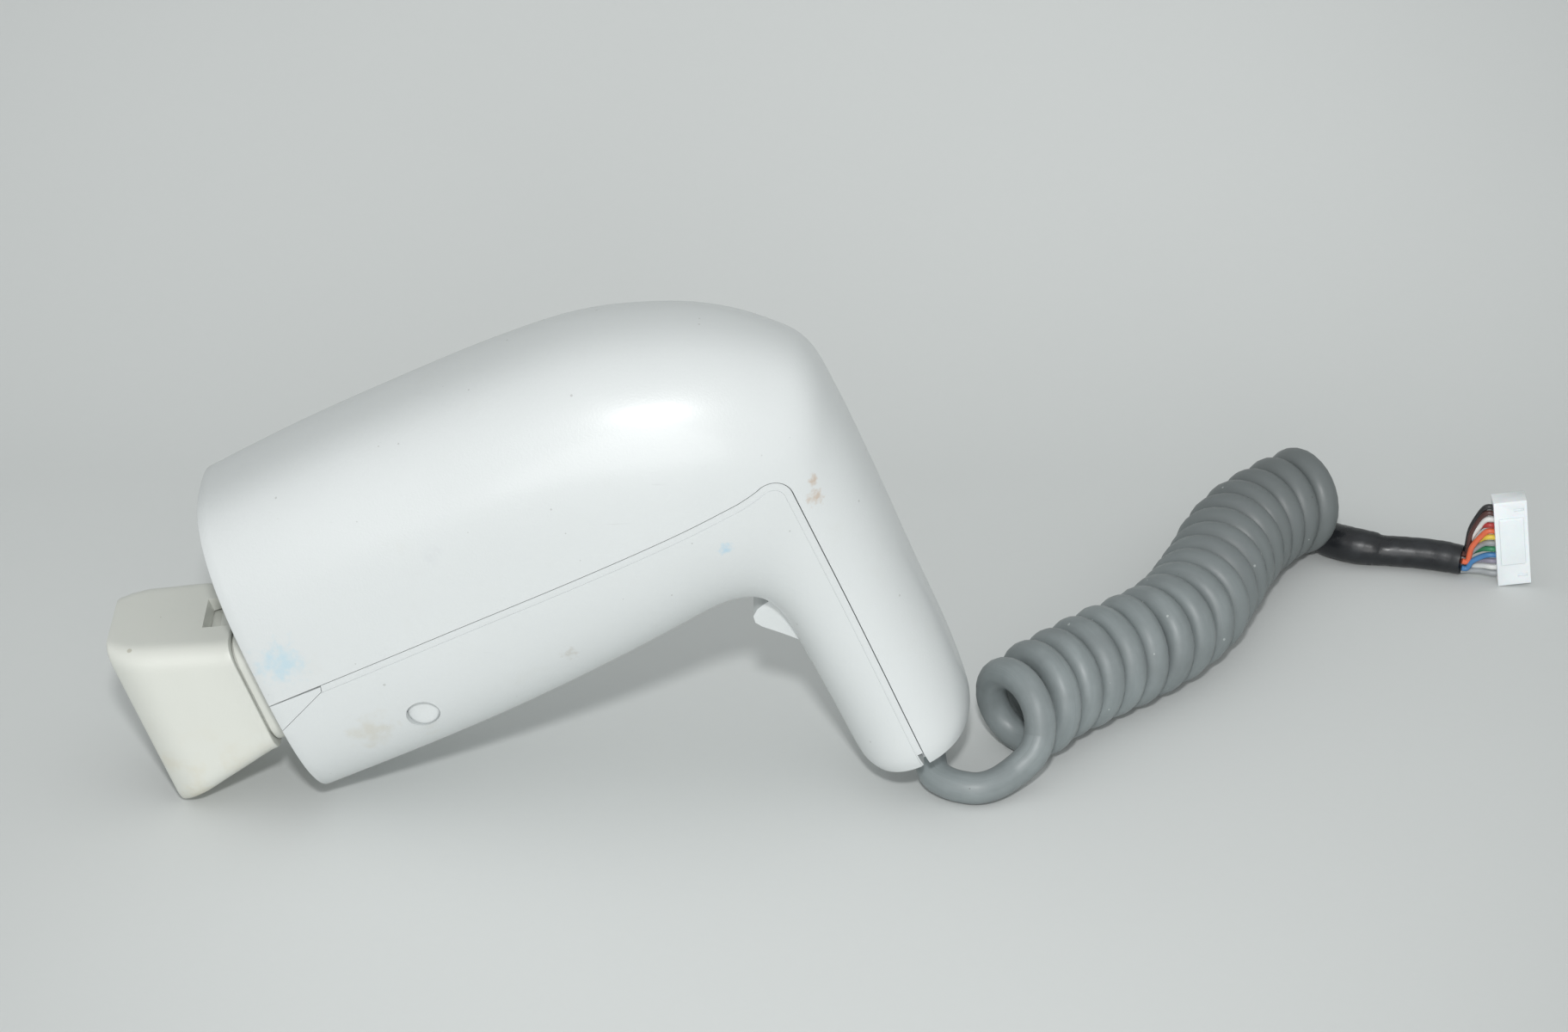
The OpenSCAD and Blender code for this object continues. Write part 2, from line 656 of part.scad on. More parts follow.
board_x = joint_x + 2;
module circuit_board() {
    color("#3e6b4a") stand() difference() {
        translate([board_x, -14, -0.82 * handle_l]) cube([1.6, 28, 0.5 * handle_l]);
        for (s = [-1, 1]) translate([0, s * 11, -0.36 * handle_l]) rod_x(1.6, board_x - 1, board_x + 3);
    }
}
module board_parts() {
    face = board_x + 1.6;
    color("#5a5f66") stand() {
        translate([face, -9, -0.62 * handle_l]) cube([8, 12, 16]);
        translate([0, 8, -0.5 * handle_l]) rod_x(3, face, face + 8);
        for (k = [0:3])
            translate([face, 5.4, -0.8 * handle_l + 4 * k]) cube([2, 5, 2.4]);
    }
}
module housing_screws() {
    reach = lug_t + screw_floor + clear;
    color("#a9adaf") stand() at_screws() translate([0, 0, screw_seat]) {
        difference() {
            cylinder(r = 2.9, h = head_h, $fn = fine);
            translate([-2.2, -0.4, 1.2]) cube([4.4, 0.8, 2]);
            translate([-0.4, -2.2, 1.2]) cube([0.8, 4.4, 2]);
        }
        translate([0, 0, -reach]) cylinder(r = screw_r, h = reach + eps, $fn = fine);
    }
}
// Round covers, set into the recesses over the screws
module screw_caps() {
    color("#e4e8e6") stand() at_screws() translate([0, 0, screw_seat + head_h + 0.2])
        cylinder(r1 = recess_r, r2 = recess_r - 0.3, h = 1.2, $fn = fine);
}
module cord_clamp() {
    color("#cfd3d1") stand() difference() {
        translate([joint_x - 2, -clamp_y - 4, clamp_z - 3]) cube([7.2, 2 * clamp_y + 8, 6]);
        translate([exit_x, 0, clamp_z - 5]) cylinder(r = cord_r, h = 10, $fn = fine);
        translate([exit_x - 9, -cord_r, clamp_z - 5]) cube([9, 2 * cord_r, 10]);
        at_clamp_screws() rod_x(screw_r - 0.1, joint_x - 3, joint_x + 8);
    }
}
module clamp_screws() {
    top = joint_x + 5.2;
    color("#a9adaf") stand() at_clamp_screws() {
        rod_x(screw_r - 0.3, top - 14, top + eps);
        difference() {
            rod_x(2.5, top, top + 1.8);
            translate([top + 1, -1.9, -0.4]) cube([2, 3.8, 0.8]);
        }
    }
}
// A rubber grommet clipped into the end wall round the cord
module cord_grommet() {
    color("#46494a") stand() translate([exit_x, 0, -handle_l]) difference() {
        union() {
            translate([0, 0, -1.2]) cylinder(r = cord_r + 2.4, h = 1.2, $fn = fine);
            cylinder(r = cord_r + 1.3, h = end_wall, $fn = fine);
            translate([0, 0, end_wall]) cylinder(r = cord_r + 2.4, h = 1.2, $fn = fine);
        }
        translate([0, 0, -2]) cylinder(r = cord_r, h = end_wall + 5, $fn = fine);
    }
}

// --- Cord and plug ----------------------------------------------------------

module cord_lead() {
    route = smooth(concat(
        [[start_at.x, 0, start_at.y], [exit_at.x, 0, exit_at.y]],
        [for (p = LEAD) on_floor(p)]), 1);
    fine_route = concat([route[0]], smooth([for (k = [1:len(route) - 1]) route[k]], 3));
    color("#7b827e") sweep(fine_route, [for (p = fine_route) cord_r], 12);
}
module cord_coil() {
    route = smooth([for (p = CURLS) on_floor([p[0], p[1], curl_d / 2])], 2);
    color("#7b827e") sweep(route, [for (p = route) curl_d / 2], 24);
}
module shrink_sleeve() {
    rows = smooth(SLEEVE, 2);
    color("#2b2e30") sweep([for (p = rows) on_floor(p)], [for (p = rows) p[3]], 12);
}
module at_plug() {
    translate([exit_at.x + plug_at.x, plug_at.y, plug_w / 2 * sin(abs(plug_lean))])
        rotate([0, plug_lean, 0]) children();
}
// One wire from the sleeve to its place in the plug
wire_step = (plug_h - 5) / (wires - 1);
function wire_end(k) = let (
    h = plug_h - 2.5 - k * wire_step, d = [-plug_w / 2, h])
    [exit_at.x + plug_at.x + d.x * cos(plug_lean) + h * sin(plug_lean), plug_at.y,
        plug_w / 2 * sin(abs(plug_lean)) - d.x * sin(plug_lean) + h * cos(plug_lean)];
function wire_route(k) = let (
    e = wire_end(k), r = BUNDLE[k][0], a = BUNDLE[k][1],
    s = on_floor(sleeve_end) + [-0.5, r * cos(a), r * sin(a)],
    reach = e.x - s.x,
    rise = e.z - s.z)
    smooth([s, s + [1.5, 0, 0],
        [s.x + 0.3 * reach, s.y + 0.3 * (e.y - s.y), s.z + 0.45 * rise],
        [s.x + 0.6 * reach, s.y + 0.65 * (e.y - s.y), s.z + 0.84 * rise],
        e - [1.5, 0, -0.1], e + [0.4, 0, 0]], 2);
module lead_wires() {
    tints = ["#1f1f20", "#4a2c22", "#e6e6e4", "#b8322a", "#dd6b3a", "#e3c93a",
        "#9b9fa0", "#2f8a57", "#3f7fb5", "#8d8a98", "#dfe0de", "#a5a8a8"];
    for (k = [0:wires - 1]) let (route = wire_route(k))
        color(tints[k]) sweep(route, [for (p = route) wire_d / 2], 8);
}
module plug_housing() {
    half_t = plug_t / 2;
    color("#eef1f2") at_plug() difference() {
        translate([-plug_w / 2, -half_t, 0]) cube([plug_w, plug_t, plug_h]);
        translate([plug_w / 2 - 6, -half_t + 1.1, 1.2]) cube([7, plug_t - 2.2, plug_h - 2.4]);
        for (k = [0:wires - 1])
            translate([0, 0, 2.5 + k * wire_step]) rod_x(wire_d / 2, -plug_w, 0);
        for (z = [2.2, plug_h - 3]) translate([plug_w / 2 - 3.4, -half_t - 1, z]) cube([2.6, 1.6, 0.8]);
    }
}
module plug_latch() {
    color("#f4f6f7") at_plug()
        translate([-plug_w / 2 + 1.1, -plug_t / 2 - 0.6, 6.2])
            cube([plug_w - 2.2, 0.6, plug_h - 11]);
}
module plug_contacts() {
    color("#c9b06a") at_plug() for (k = [0:wires - 1])
        translate([0, -0.6, 2.5 + k * wire_step - 0.5]) cube([plug_w / 2 - 1, 1.2, 1]);
}

upper_housing();
lower_housing();
corner_clips();
mouth_plate();
nozzle();
nozzle_collar();
outlet_grille();
heater_duct();
mica_boards();
heating_wire();
thermostat();
thermal_fuse();
fan_casing();
fan_cover();
fan_wheel();
motor_can();
motor_end_cap();
motor_shaft();
shaft_bush();
lint_screen();
trigger();
trigger_pin();
trigger_spring();
switch_body();
switch_plunger();
circuit_board();
board_parts();
housing_screws();
screw_caps();
cord_clamp();
clamp_screws();
cord_grommet();
cord_lead();
cord_coil();
shrink_sleeve();
lead_wires();
plug_housing();
plug_latch();
plug_contacts();
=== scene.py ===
"""Hair dryer handset with a curly cord, resting on its nozzle and its cord.

Sizes are in millimetres in the dryer's own frame, as in the part's source, and every
piece is turned into metres in the row frame as it is made. The dryer's frame has X
rearwards along the barrel, Y to the far side and Z up from the barrel's axis.
"""

import json
from math import cos, pi, radians, sin

import bmesh
import bpy
import numpy as np
from mathutils import Matrix, Vector


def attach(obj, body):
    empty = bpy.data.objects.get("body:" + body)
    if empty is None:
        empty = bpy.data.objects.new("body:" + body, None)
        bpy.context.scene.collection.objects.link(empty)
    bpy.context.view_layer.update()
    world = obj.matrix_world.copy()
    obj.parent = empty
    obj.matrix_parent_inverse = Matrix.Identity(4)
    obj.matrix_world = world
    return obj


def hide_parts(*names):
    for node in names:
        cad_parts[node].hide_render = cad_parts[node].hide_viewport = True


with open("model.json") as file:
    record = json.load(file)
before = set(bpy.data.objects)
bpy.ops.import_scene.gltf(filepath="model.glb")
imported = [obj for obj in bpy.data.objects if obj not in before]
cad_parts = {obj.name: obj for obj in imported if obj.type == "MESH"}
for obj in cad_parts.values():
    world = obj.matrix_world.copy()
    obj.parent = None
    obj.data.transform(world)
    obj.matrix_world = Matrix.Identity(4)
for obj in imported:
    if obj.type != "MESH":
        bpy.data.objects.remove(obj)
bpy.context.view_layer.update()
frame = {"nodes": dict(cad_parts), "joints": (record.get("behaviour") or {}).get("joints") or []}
MM = 0.001

# --- Driving sizes, as in the part's source ----------------------------------

BARREL_L, HANDLE_L, HANDLE_T, HANDLE_W = 131, 92, 32, 41
MOUTH_H, MOUTH_W, MOUTH_LEAN = 81, 57, 4
CROWN_H, BELLY_D, FAN_BULGE = 42, 37.5, 2.5
WALL, SEAM = 2.2, 0.3
JOINT_DROP, JOINT_RISE, JOINT_SLANT, JOINT_BUMP = 6.5, 1.8, 2.5, 5
DUCT_W, DUCT_H, DUCT_Z, COLLAR_X, SPIGOT_L = 33.6, 26.6, -8.5, -6, 12
NOZZLE_L, OUTLET_H, OUTLET_W, NOZZLE_WALL = 29, 46.5, 28.5, 2
CORD_D, CURL_D, PLUG_H, PLUG_W = 7.8, 28, 24.6, 8.6
PLUG_LEAN = -7

joint_z = -JOINT_DROP
joint_x = BARREL_L + 1
handle_front, handle_back = BARREL_L - HANDLE_T / 2, BARREL_L + HANDLE_T / 2
half_w, half_h, grip_w = MOUTH_W / 2, MOUTH_H / 2, HANDLE_W / 2
mid_w = half_w + FAN_BULGE
outlet_x = COLLAR_X - NOZZLE_L
fan_x, fan_z = BARREL_L - 34, (CROWN_H - BELLY_D) / 2
hinge_x, hinge_z = handle_front + 6, 30 - HANDLE_L
cord_r = CORD_D / 2

# The joints tell where the dryer's frame and the mouth's frame stand
joints = {j["name"]: j for j in frame["joints"]}
ACROSS = Vector((0, 1, 0))
barrel_way = Vector(joints["plunger_slide"]["axis"]).normalized()
barrel_up = barrel_way.cross(ACROSS)
origin = (Vector(joints["fan_spin"]["pos_m"])
          - barrel_way * fan_x * MM - barrel_up * fan_z * MM)
mouth_way = -Vector(joints["nozzle_slide"]["axis"]).normalized()


def placing(way):
    """The matrix from millimetres in a frame along the barrel to the row frame."""
    turn = Matrix((way, ACROSS, way.cross(ACROSS))).transposed()
    return Matrix.Translation(origin) @ turn.to_4x4() @ Matrix.Scale(MM, 4)


STAND, IN_MOUTH = placing(barrel_way), placing(mouth_way)
exit_at = STAND @ Vector((BARREL_L, 0, -HANDLE_L - 1))
cord_start = STAND @ Vector((BARREL_L, 0, -HANDLE_L + 14))


def on_floor(p):
    """A place on the cord's route: X from where it leaves the handle, Y, and height."""
    return Vector((exit_at.x + p[0] * MM, p[1] * MM, p[2] * MM))


# --- Shapes ------------------------------------------------------------------

ROUND = 48  # sides of a rod or a screw's cover


def smooth(rows, steps):
    """A smooth curve through rows of numbers, with some steps in each span."""
    rows = np.array(rows, float)
    out = []
    for i in range(len(rows) - 1):
        a, b, c, d = (rows[min(max(i + k, 0), len(rows) - 1)] for k in (-1, 0, 1, 2))
        for k in range(steps):
            t = k / steps
            out.append(0.5 * (2 * b + (c - a) * t + (2 * a - 5 * b + 4 * c - d) * t ** 2
                              + (3 * b - a - 3 * c + d) * t ** 3))
    return out + [rows[-1]]


def even(points, count):
    """Points spaced evenly round a closed outline, starting at its first one."""
    closed = np.vstack([points, points[:1]])
    along = np.concatenate([[0], np.cumsum(np.linalg.norm(np.diff(closed, axis=0), axis=1))])
    at = np.linspace(0, along[-1], count, endpoint=False)
    return np.stack([np.interp(at, along, closed[:, k]) for k in range(closed.shape[1])], 1)


def new_piece(name, verts, faces, place=None, materials=()):
    """A mesh object with its place in its mesh and its faces turned outwards."""
    mesh = bpy.data.meshes.new(name)
    mesh.from_pydata([tuple(v) for v in verts], [], [tuple(f) for f in faces])
    if place is not None:
        mesh.transform(place)
    shape = bmesh.new()
    shape.from_mesh(mesh)
    bmesh.ops.recalc_face_normals(shape, faces=shape.faces)
    shape.to_mesh(mesh)
    shape.free()
    piece = bpy.data.objects.new(name, mesh)
    bpy.context.scene.collection.objects.link(piece)
    for m in materials:
        mesh.materials.append(m)
    return piece


def loft(name, rings, place, ring_shaped=False):
    """A skin over rings of points. A ring-shaped one closes on its first ring."""
    n, m = len(rings[0]), len(rings)
    spans = m if ring_shaped else m - 1
    faces = [(i * n + k, ((i + 1) % m) * n + k, ((i + 1) % m) * n + (k + 1) % n,
              i * n + (k + 1) % n) for i in range(spans) for k in range(n)]
    if not ring_shaped:
        faces += [tuple(range(n)), tuple(range((m - 1) * n, m * n))]
    return new_piece(name, np.vstack(rings), faces, place)


def prism(name, outline, y0, y1, place):
    """A side view given thickness from y0 to y1."""
    n = len(outline)
    verts = [(x, y, z) for y in (y0, y1) for x, z in outline]
    faces = [tuple(range(n)), tuple(range(n, 2 * n))]
    faces += [(k, (k + 1) % n, n + (k + 1) % n, n + k) for k in range(n)]
    return new_piece(name, verts, faces, place)


def rod(name, r, a, b, place):
    """A round rod from a to b."""
    a, b = Vector(a), Vector(b)
    turn = (b - a).to_track_quat("Z", "Y").to_matrix()
    rings = [[tuple(end + turn @ Vector((r * cos(t), r * sin(t), 0)))
              for t in np.linspace(0, 2 * pi, ROUND, endpoint=False)] for end in (a, b)]
    return loft(name, rings, place)


def brick(name, low, high, place):
    """A block between two opposite corners."""
    outline = [(low[0], low[2]), (high[0], low[2]), (high[0], high[2]), (low[0], high[2])]
    return prism(name, outline, low[1], high[1], place)


def evaluated(piece):
    """The piece's mesh with its modifiers applied, as a plain mesh."""
    graph = bpy.context.evaluated_depsgraph_get()
    graph.update()
    mesh = bpy.data.meshes.new_from_object(piece.evaluated_get(graph),
                                           preserve_all_data_layers=True, depsgraph=graph)
    piece.modifiers.clear()
    old, piece.data = piece.data, mesh
    if old.users == 0:
        bpy.data.meshes.remove(old)
    return piece


def carved(piece, cut=(), keep=(), add=()):
    """The piece joined with some solids, kept inside others and cut by the rest."""
    tools = [(t, "UNION") for t in add] + [(t, "INTERSECT") for t in keep]
    tools += [(t, "DIFFERENCE") for t in cut]
    for tool, how in tools:
        step = piece.modifiers.new(how, "BOOLEAN")
        step.operation, step.object, step.solver = how, tool, "EXACT"
    evaluated(piece)
    for tool, _ in tools:
        bpy.data.objects.remove(tool)
    return piece


def rounded(w, h, r, sides):
    """Points round a rectangle with rounded corners, centred on nothing."""
    corners = [(w / 2 - r, h / 2 - r, 0), (r - w / 2, h / 2 - r, 90),
               (r - w / 2, r - h / 2, 180), (w / 2 - r, r - h / 2, 270)]
    points = [(w / 2, 0)] + [
        (cx + r * cos(radians(a + t)), cz + r * sin(radians(a + t)))
        for cx, cz, a in corners for t in np.linspace(0, 90, 10)]
    return even(np.array(points), sides)


def smoothed(piece, angle=35):
    """Smooth shading, with sharp edges past an angle."""
    piece.data.polygons.foreach_set("use_smooth", [True] * len(piece.data.polygons))
    piece.data.set_sharp_from_angle(angle=radians(angle))
    return piece


def soft_edges(piece, width, angle=30, segments=3):
    """A small radius on every sharp edge."""
    step = piece.modifiers.new("edges", "BEVEL")
    step.width, step.segments, step.limit_method = width * MM, segments, "ANGLE"
    step.angle_limit, step.harden_normals = radians(angle), False
    step.use_clamp_overlap = True
    return smoothed(evaluated(piece), 50)


def merged_copy(node, name):
    """A copy of a CAD node with its loose triangles joined into whole faces."""
    shape = bmesh.new()
    shape.from_mesh(frame["nodes"][node].data)
    bmesh.ops.remove_doubles(shape, verts=shape.verts, dist=2e-6)
    bmesh.ops.dissolve_limit(shape, angle_limit=radians(1), verts=shape.verts,
                             edges=shape.edges)
    bmesh.ops.recalc_face_normals(shape, faces=shape.faces)
    mesh = bpy.data.meshes.new(name)
    shape.to_mesh(mesh)
    shape.free()
    piece = bpy.data.objects.new(name, mesh)
    bpy.context.scene.collection.objects.link(piece)
    return piece


def hand_over(piece, body, slot, *nodes, material=None):
    """Puts a finished piece on its body in place of its CAD nodes."""
    if material is not None:
        piece.data.materials.clear()
        piece.data.materials.append(material)
    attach(piece, body)
    if nodes:
        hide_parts(*nodes)
    return piece


# --- Node trees --------------------------------------------------------------

class Net:
    """A node tree in the making. add() makes a node and links or sets its inputs."""

    def __init__(self, tree):
        self.tree = tree

    def feed(self, node, inputs):
        for key, value in inputs.items():
            if isinstance(value, bpy.types.NodeSocket):
                self.tree.links.new(value, node.inputs[key])
            else:
                node.inputs[key].default_value = value
        return node

    def add(self, kind, inputs=None, **settings):
        node = self.tree.nodes.new(kind)
        for name, value in settings.items():
            setattr(node, name, value)
        return self.feed(node, inputs or {})

    def math(self, how, a, b=0.0):
        return self.add("ShaderNodeMath", {0: a, 1: b}, operation=how).outputs[0]

    def mix(self, factor, a, b):
        """Colour a turning into colour b as the factor goes from 0 to 1."""
        node = self.add("ShaderNodeMix", data_type="RGBA")
        return self.feed(node, {0: factor, 6: a, 7: b}).outputs[2]

    def ramp(self, value, low, high, to_low=0.0, to_high=1.0):
        return self.add("ShaderNodeMapRange",
                        {0: value, 1: low, 2: high, 3: to_low, 4: to_high},
                        interpolation_type="SMOOTHSTEP").outputs[0]


def new_group(name, kind, inputs, outputs):
    """An empty node group with named sockets, and the node that gives its inputs."""
    tree = bpy.data.node_groups.new(name, kind)
    for side, sockets in (("INPUT", inputs), ("OUTPUT", outputs)):
        for socket, (sort, value) in sockets.items():
            made = tree.interface.new_socket(name=socket, in_out=side, socket_type=sort)
            if value is not None:
                made.default_value = value
    net = Net(tree)
    return net, net.add("NodeGroupInput").outputs, net.add("NodeGroupOutput").inputs


FLOAT, POINT, SHAPE = "NodeSocketFloat", "NodeSocketVector", "NodeSocketGeometry"


def mottle_group():
    """Slow changes of tone over a moulding."""
    net, given, out = new_group(
        "Mottle", "ShaderNodeTree", {"Place": (POINT, None), "Scale": (FLOAT, 40.0)},
        {"Value": (FLOAT, None)})
    noise = net.add("ShaderNodeTexNoise", {"Vector": given["Place"], "Scale": given["Scale"],
                                           "Detail": 4.0, "Roughness": 0.6})
    net.tree.links.new(noise.outputs["Fac"], out["Value"])
    return net.tree


def specks_group():
    """Small separate grains of dust or dirt."""
    net, given, out = new_group(
        "Specks", "ShaderNodeTree",
        {"Place": (POINT, None), "Scale": (FLOAT, 300.0), "Amount": (FLOAT, 0.1)},
        {"Mask": (FLOAT, None)})
    cells = net.add("ShaderNodeTexVoronoi", {"Vector": given["Place"],
                                             "Scale": given["Scale"], "Randomness": 1.0})
    tint = net.add("ShaderNodeSeparateColor", {0: cells.outputs["Color"]})
    chosen = net.math("GREATER_THAN", tint.outputs[0], net.math("SUBTRACT", 1.0, given["Amount"]))
    size = net.math("MULTIPLY", tint.outputs[1], 0.22)
    near = net.math("LESS_THAN", cells.outputs["Distance"], size)
    net.tree.links.new(net.math("MULTIPLY", chosen, near), out["Mask"])
    return net.tree


def scuffs_group():
    """Short fine scratches that all run much the same way."""
    net, given, out = new_group(
        "Scuffs", "ShaderNodeTree",
        {"Place": (POINT, None), "Scale": (FLOAT, 60.0), "Amount": (FLOAT, 0.3)},
        {"Mask": (FLOAT, None)})
    drawn = net.add("ShaderNodeMapping", {"Vector": given["Place"],
                                          "Rotation": (0.3, 0.5, 0.7),
                                          "Scale": (1.0, 14.0, 14.0)})
    lines = net.add("ShaderNodeTexNoise", {"Vector": drawn.outputs[0],
                                           "Scale": given["Scale"], "Detail": 2.0})
    spots = net.add("ShaderNodeTexNoise", {"Vector": given["Place"], "Scale": 35.0})
    edge = net.math("SUBTRACT", 0.78, net.math("MULTIPLY", given["Amount"], 0.2))
    line = net.ramp(lines.outputs["Fac"], edge, 0.8)
    net.tree.links.new(
        net.math("MULTIPLY", line, net.ramp(spots.outputs["Fac"], 0.5, 0.6)), out["Mask"])
    return net.tree


def grain_group():
    """The fine uneven skin of moulded plastic or rubber, as a height."""
    net, given, out = new_group(
        "Grain", "ShaderNodeTree",
        {"Place": (POINT, None), "Scale": (FLOAT, 900.0), "Waves": (FLOAT, 0.3)},
        {"Height": (FLOAT, None)})
    fine = net.add("ShaderNodeTexNoise", {"Vector": given["Place"], "Scale": given["Scale"],
                                          "Detail": 3.0})
    wide = net.add("ShaderNodeTexNoise", {"Vector": given["Place"], "Scale": 70.0,
                                          "Detail": 2.0})
    net.tree.links.new(
        net.math("ADD", fine.outputs["Fac"],
                 net.math("MULTIPLY", wide.outputs["Fac"], given["Waves"])), out["Height"])
    return net.tree


def stain_group():
    """One ragged mark at a place, fading from its middle to its reach."""
    net, given, out = new_group(
        "Stain", "ShaderNodeTree",
        {"Place": (POINT, None), "Centre": (POINT, None), "Reach": (FLOAT, 0.01),
         "Ragged": (FLOAT, 300.0)},
        {"Mask": (FLOAT, None)})
    offset = net.add("ShaderNodeVectorMath", {0: given["Place"], 1: given["Centre"]},
                     operation="SUBTRACT")
    away = net.add("ShaderNodeVectorMath", {0: offset.outputs[0]}, operation="LENGTH")
    share = net.math("DIVIDE", away.outputs["Value"], given["Reach"])
    noise = net.add("ShaderNodeTexNoise", {"Vector": given["Place"],
                                           "Scale": given["Ragged"], "Detail": 4.0})
    torn = net.math("ADD", share, net.math("MULTIPLY", noise.outputs["Fac"], 1.4))
    net.tree.links.new(net.ramp(torn, 1.5, 0.7), out["Mask"])
    return net.tree


MOTTLE, SPECKS, SCUFFS = mottle_group(), specks_group(), scuffs_group()
GRAIN, STAIN = grain_group(), stain_group()


class Finish(Net):
    """A material in the making, with its shader, its place and its shared effects."""

    def __init__(self, name, roughness, **constants):
        self.material = bpy.data.materials.new(name)
        self.material.use_nodes = True
        super().__init__(self.material.node_tree)
        self.shader = self.tree.nodes["Principled BSDF"]
        self.shader.inputs["Roughness"].default_value = roughness
        for key, value in constants.items():
            self.shader.inputs[key.replace("_", " ")].default_value = value
        self.place = self.add("ShaderNodeTexCoord").outputs["Object"]

    def effect(self, group, **inputs):
        inputs.setdefault("Place", self.place)
        return self.add("ShaderNodeGroup", inputs, node_tree=group).outputs[0]

    def to(self, socket, value):
        self.tree.links.new(value, self.shader.inputs[socket])

    def bump(self, height, strength, distance=0.0001):
        node = self.add("ShaderNodeBump", {"Height": height, "Strength": strength,
                                           "Distance": distance})
        self.to("Normal", node.outputs[0])


def tone(r, g, b):
    """A colour given as it shows on a screen, from 0 to 255, made linear."""
    return tuple(((c / 255 + 0.055) / 1.055) ** 2.4 for c in (r, g, b)) + (1.0,)


# --- Camera, light and floor -------------------------------------------------

MIDDLE = Vector((0.05, 0, 0.05))


def camera():
    """A long lens a little over a metre away, looking down at the dryer."""
    data = bpy.data.cameras.new("camera")
    data.lens, data.sensor_width = 106.64, 36
    data.clip_start, data.clip_end = 0.05, 50
    target, down, reach = Vector((0.0583, 0, 0.07194)), radians(28), 1.102
    eye = bpy.data.objects.new("camera", data)
    eye.location = target + Vector((0, -cos(down), sin(down))) * reach
    eye.rotation_euler = (target - eye.location).to_track_quat("-Z", "Y").to_euler()
    bpy.context.scene.collection.objects.link(eye)
    bpy.context.scene.camera = eye


def light_towards_dryer(name, kind, place, energy):
    """A light of some kind, aimed at the middle of the dryer."""
    data = bpy.data.lights.new(name, kind)
    data.energy = energy
    light = bpy.data.objects.new(name, data)
    light.location = place
    light.rotation_euler = (MIDDLE - light.location).to_track_quat("-Z", "Y").to_euler()
    bpy.context.scene.collection.objects.link(light)
    return data


def lights():
    """A small flash over the lens, brightest in the middle of its beam, and the soft
    light that comes back from the room in front."""
    high, reach = radians(37.5), 1.25
    flash = light_towards_dryer("flash", "SPOT",
                                MIDDLE + Vector((0, -cos(high), sin(high))) * reach, 31.0)
    flash.shadow_soft_size, flash.spot_size, flash.spot_blend = 0.04, radians(32), 1.0
    fill = light_towards_dryer("fill", "AREA", Vector((0.05, -1.3, 0.15)), 6.0)
    fill.shape, fill.size = "DISK", 1.0


def surround():
    """Even light from a pale room."""
    world = bpy.data.worlds.new("surround")
    world.use_nodes = True
    world.node_tree.nodes["Background"].inputs["Color"].default_value = (0.985, 1.0, 1.0, 1)
    world.node_tree.nodes["Background"].inputs["Strength"].default_value = 0.65
    bpy.context.scene.world = world
    bpy.context.scene.view_settings.view_transform = "Standard"


def clear_from_behind(finish):
    """Lets the back of a sheet be seen through, so that it never hides the dryer."""
    end = next(n for n in finish.tree.nodes if n.type == "OUTPUT_MATERIAL")
    back = finish.add("ShaderNodeNewGeometry").outputs["Backfacing"]
    clear = finish.add("ShaderNodeBsdfTransparent").outputs[0]
    sides = finish.add("ShaderNodeMixShader", {0: back, 1: finish.shader.outputs[0], 2: clear})
    finish.tree.links.new(sides.outputs[0], end.inputs["Surface"])


def floor():
    """Matt pale paper with a faint mottle, which curves up behind the dryer."""
    paper = Finish("floor paper", 0.75)
    cloud = paper.effect(MOTTLE, Scale=3.0)
    fibre = paper.effect(MOTTLE, Scale=420.0)
    colour = paper.mix(cloud, tone(207, 210, 209), tone(212, 215, 214))
    paper.to("Base Color", paper.mix(paper.math("MULTIPLY", fibre, 0.06), colour,
                                     tone(180, 186, 184)))
    paper.bump(fibre, 0.15)
    clear_from_behind(paper)

    start, bend, steepest, sunk = 0.16, 0.32, 1.3, 0.0002
    side_view = [(-6, 0), (start, 0)] + [
        (start + bend * sin(t), bend * (1 - cos(t))) for t in np.linspace(0.02, steepest, 40)]
    top = side_view[-1]
    side_view.append((top[0] + 1, top[1] + 3.6))
    n = len(side_view)
    ground = new_piece("floor", [(x, y, z - sunk) for x in (-4, 4) for y, z in side_view],
                       [(k, k + 1, n + k + 1, n + k) for k in range(n - 1)],
                       materials=[paper.material])
    smoothed(ground)
    if ground.data.polygons[0].normal.z < 0:
        ground.data.flip_normals()


camera()
lights()
surround()
floor()

# --- Cord and plug -----------------------------------------------------------

# X from where the cord leaves the handle, Y, and height
LEAD = [
    (0.8, -1.4, 11), (1.2, -4.6, 7.6), (2.2, -7.6, 5.2), (5.4, -10.2, 4.2),
    (9.4, -11.8, 3.9), (13, -12.2, 3.9), (17, -10.8, 4.4), (21, -8, 5.6),
    (24.2, -6.4, 7.8), (26.6, -5, 10.6),
]
CURLS = [
    (19, 6), (28, 15), (36.5, 23.5), (49.5, 35.5), (56.5, 41.5), (62.5, 48.5), (68, 56.5),
    (72.5, 66.5), (76.5, 76.5), (80.5, 87.5), (85.5, 98.5), (92.5, 108.5), (100, 116),
    (109, 123.5),
]
SLEEVE = [
    (108.5, 115.5, 4.6, 4.5), (112, 112.5, 4.7, 4.7), (117, 109.8, 4.7, 4.7),
    (121.5, 108.8, 4.4, 4.4), (124, 108.4, 4.1, 4), (133, 107, 4.1, 4),
    (140, 105, 4.1, 4), (144.5, 103.2, 4, 3.8),
]
SLEEVE_END = (144.5, 103.2, 4)
PLUG_AT = (157.6, 98.8)
WIRE_D = 1.5
BUNDLE = [
    (2.75, 67.5), (2.75, 112.5), (1.15, 90), (2.75, 22.5), (2.75, 157.5), (1.15, 0),
    (1.15, 180), (2.75, -22.5), (2.75, 202.5), (1.15, -90), (2.75, -67.5), (2.75, 247.5),
]
TURNS = 17.75
TURN_STEPS = 30


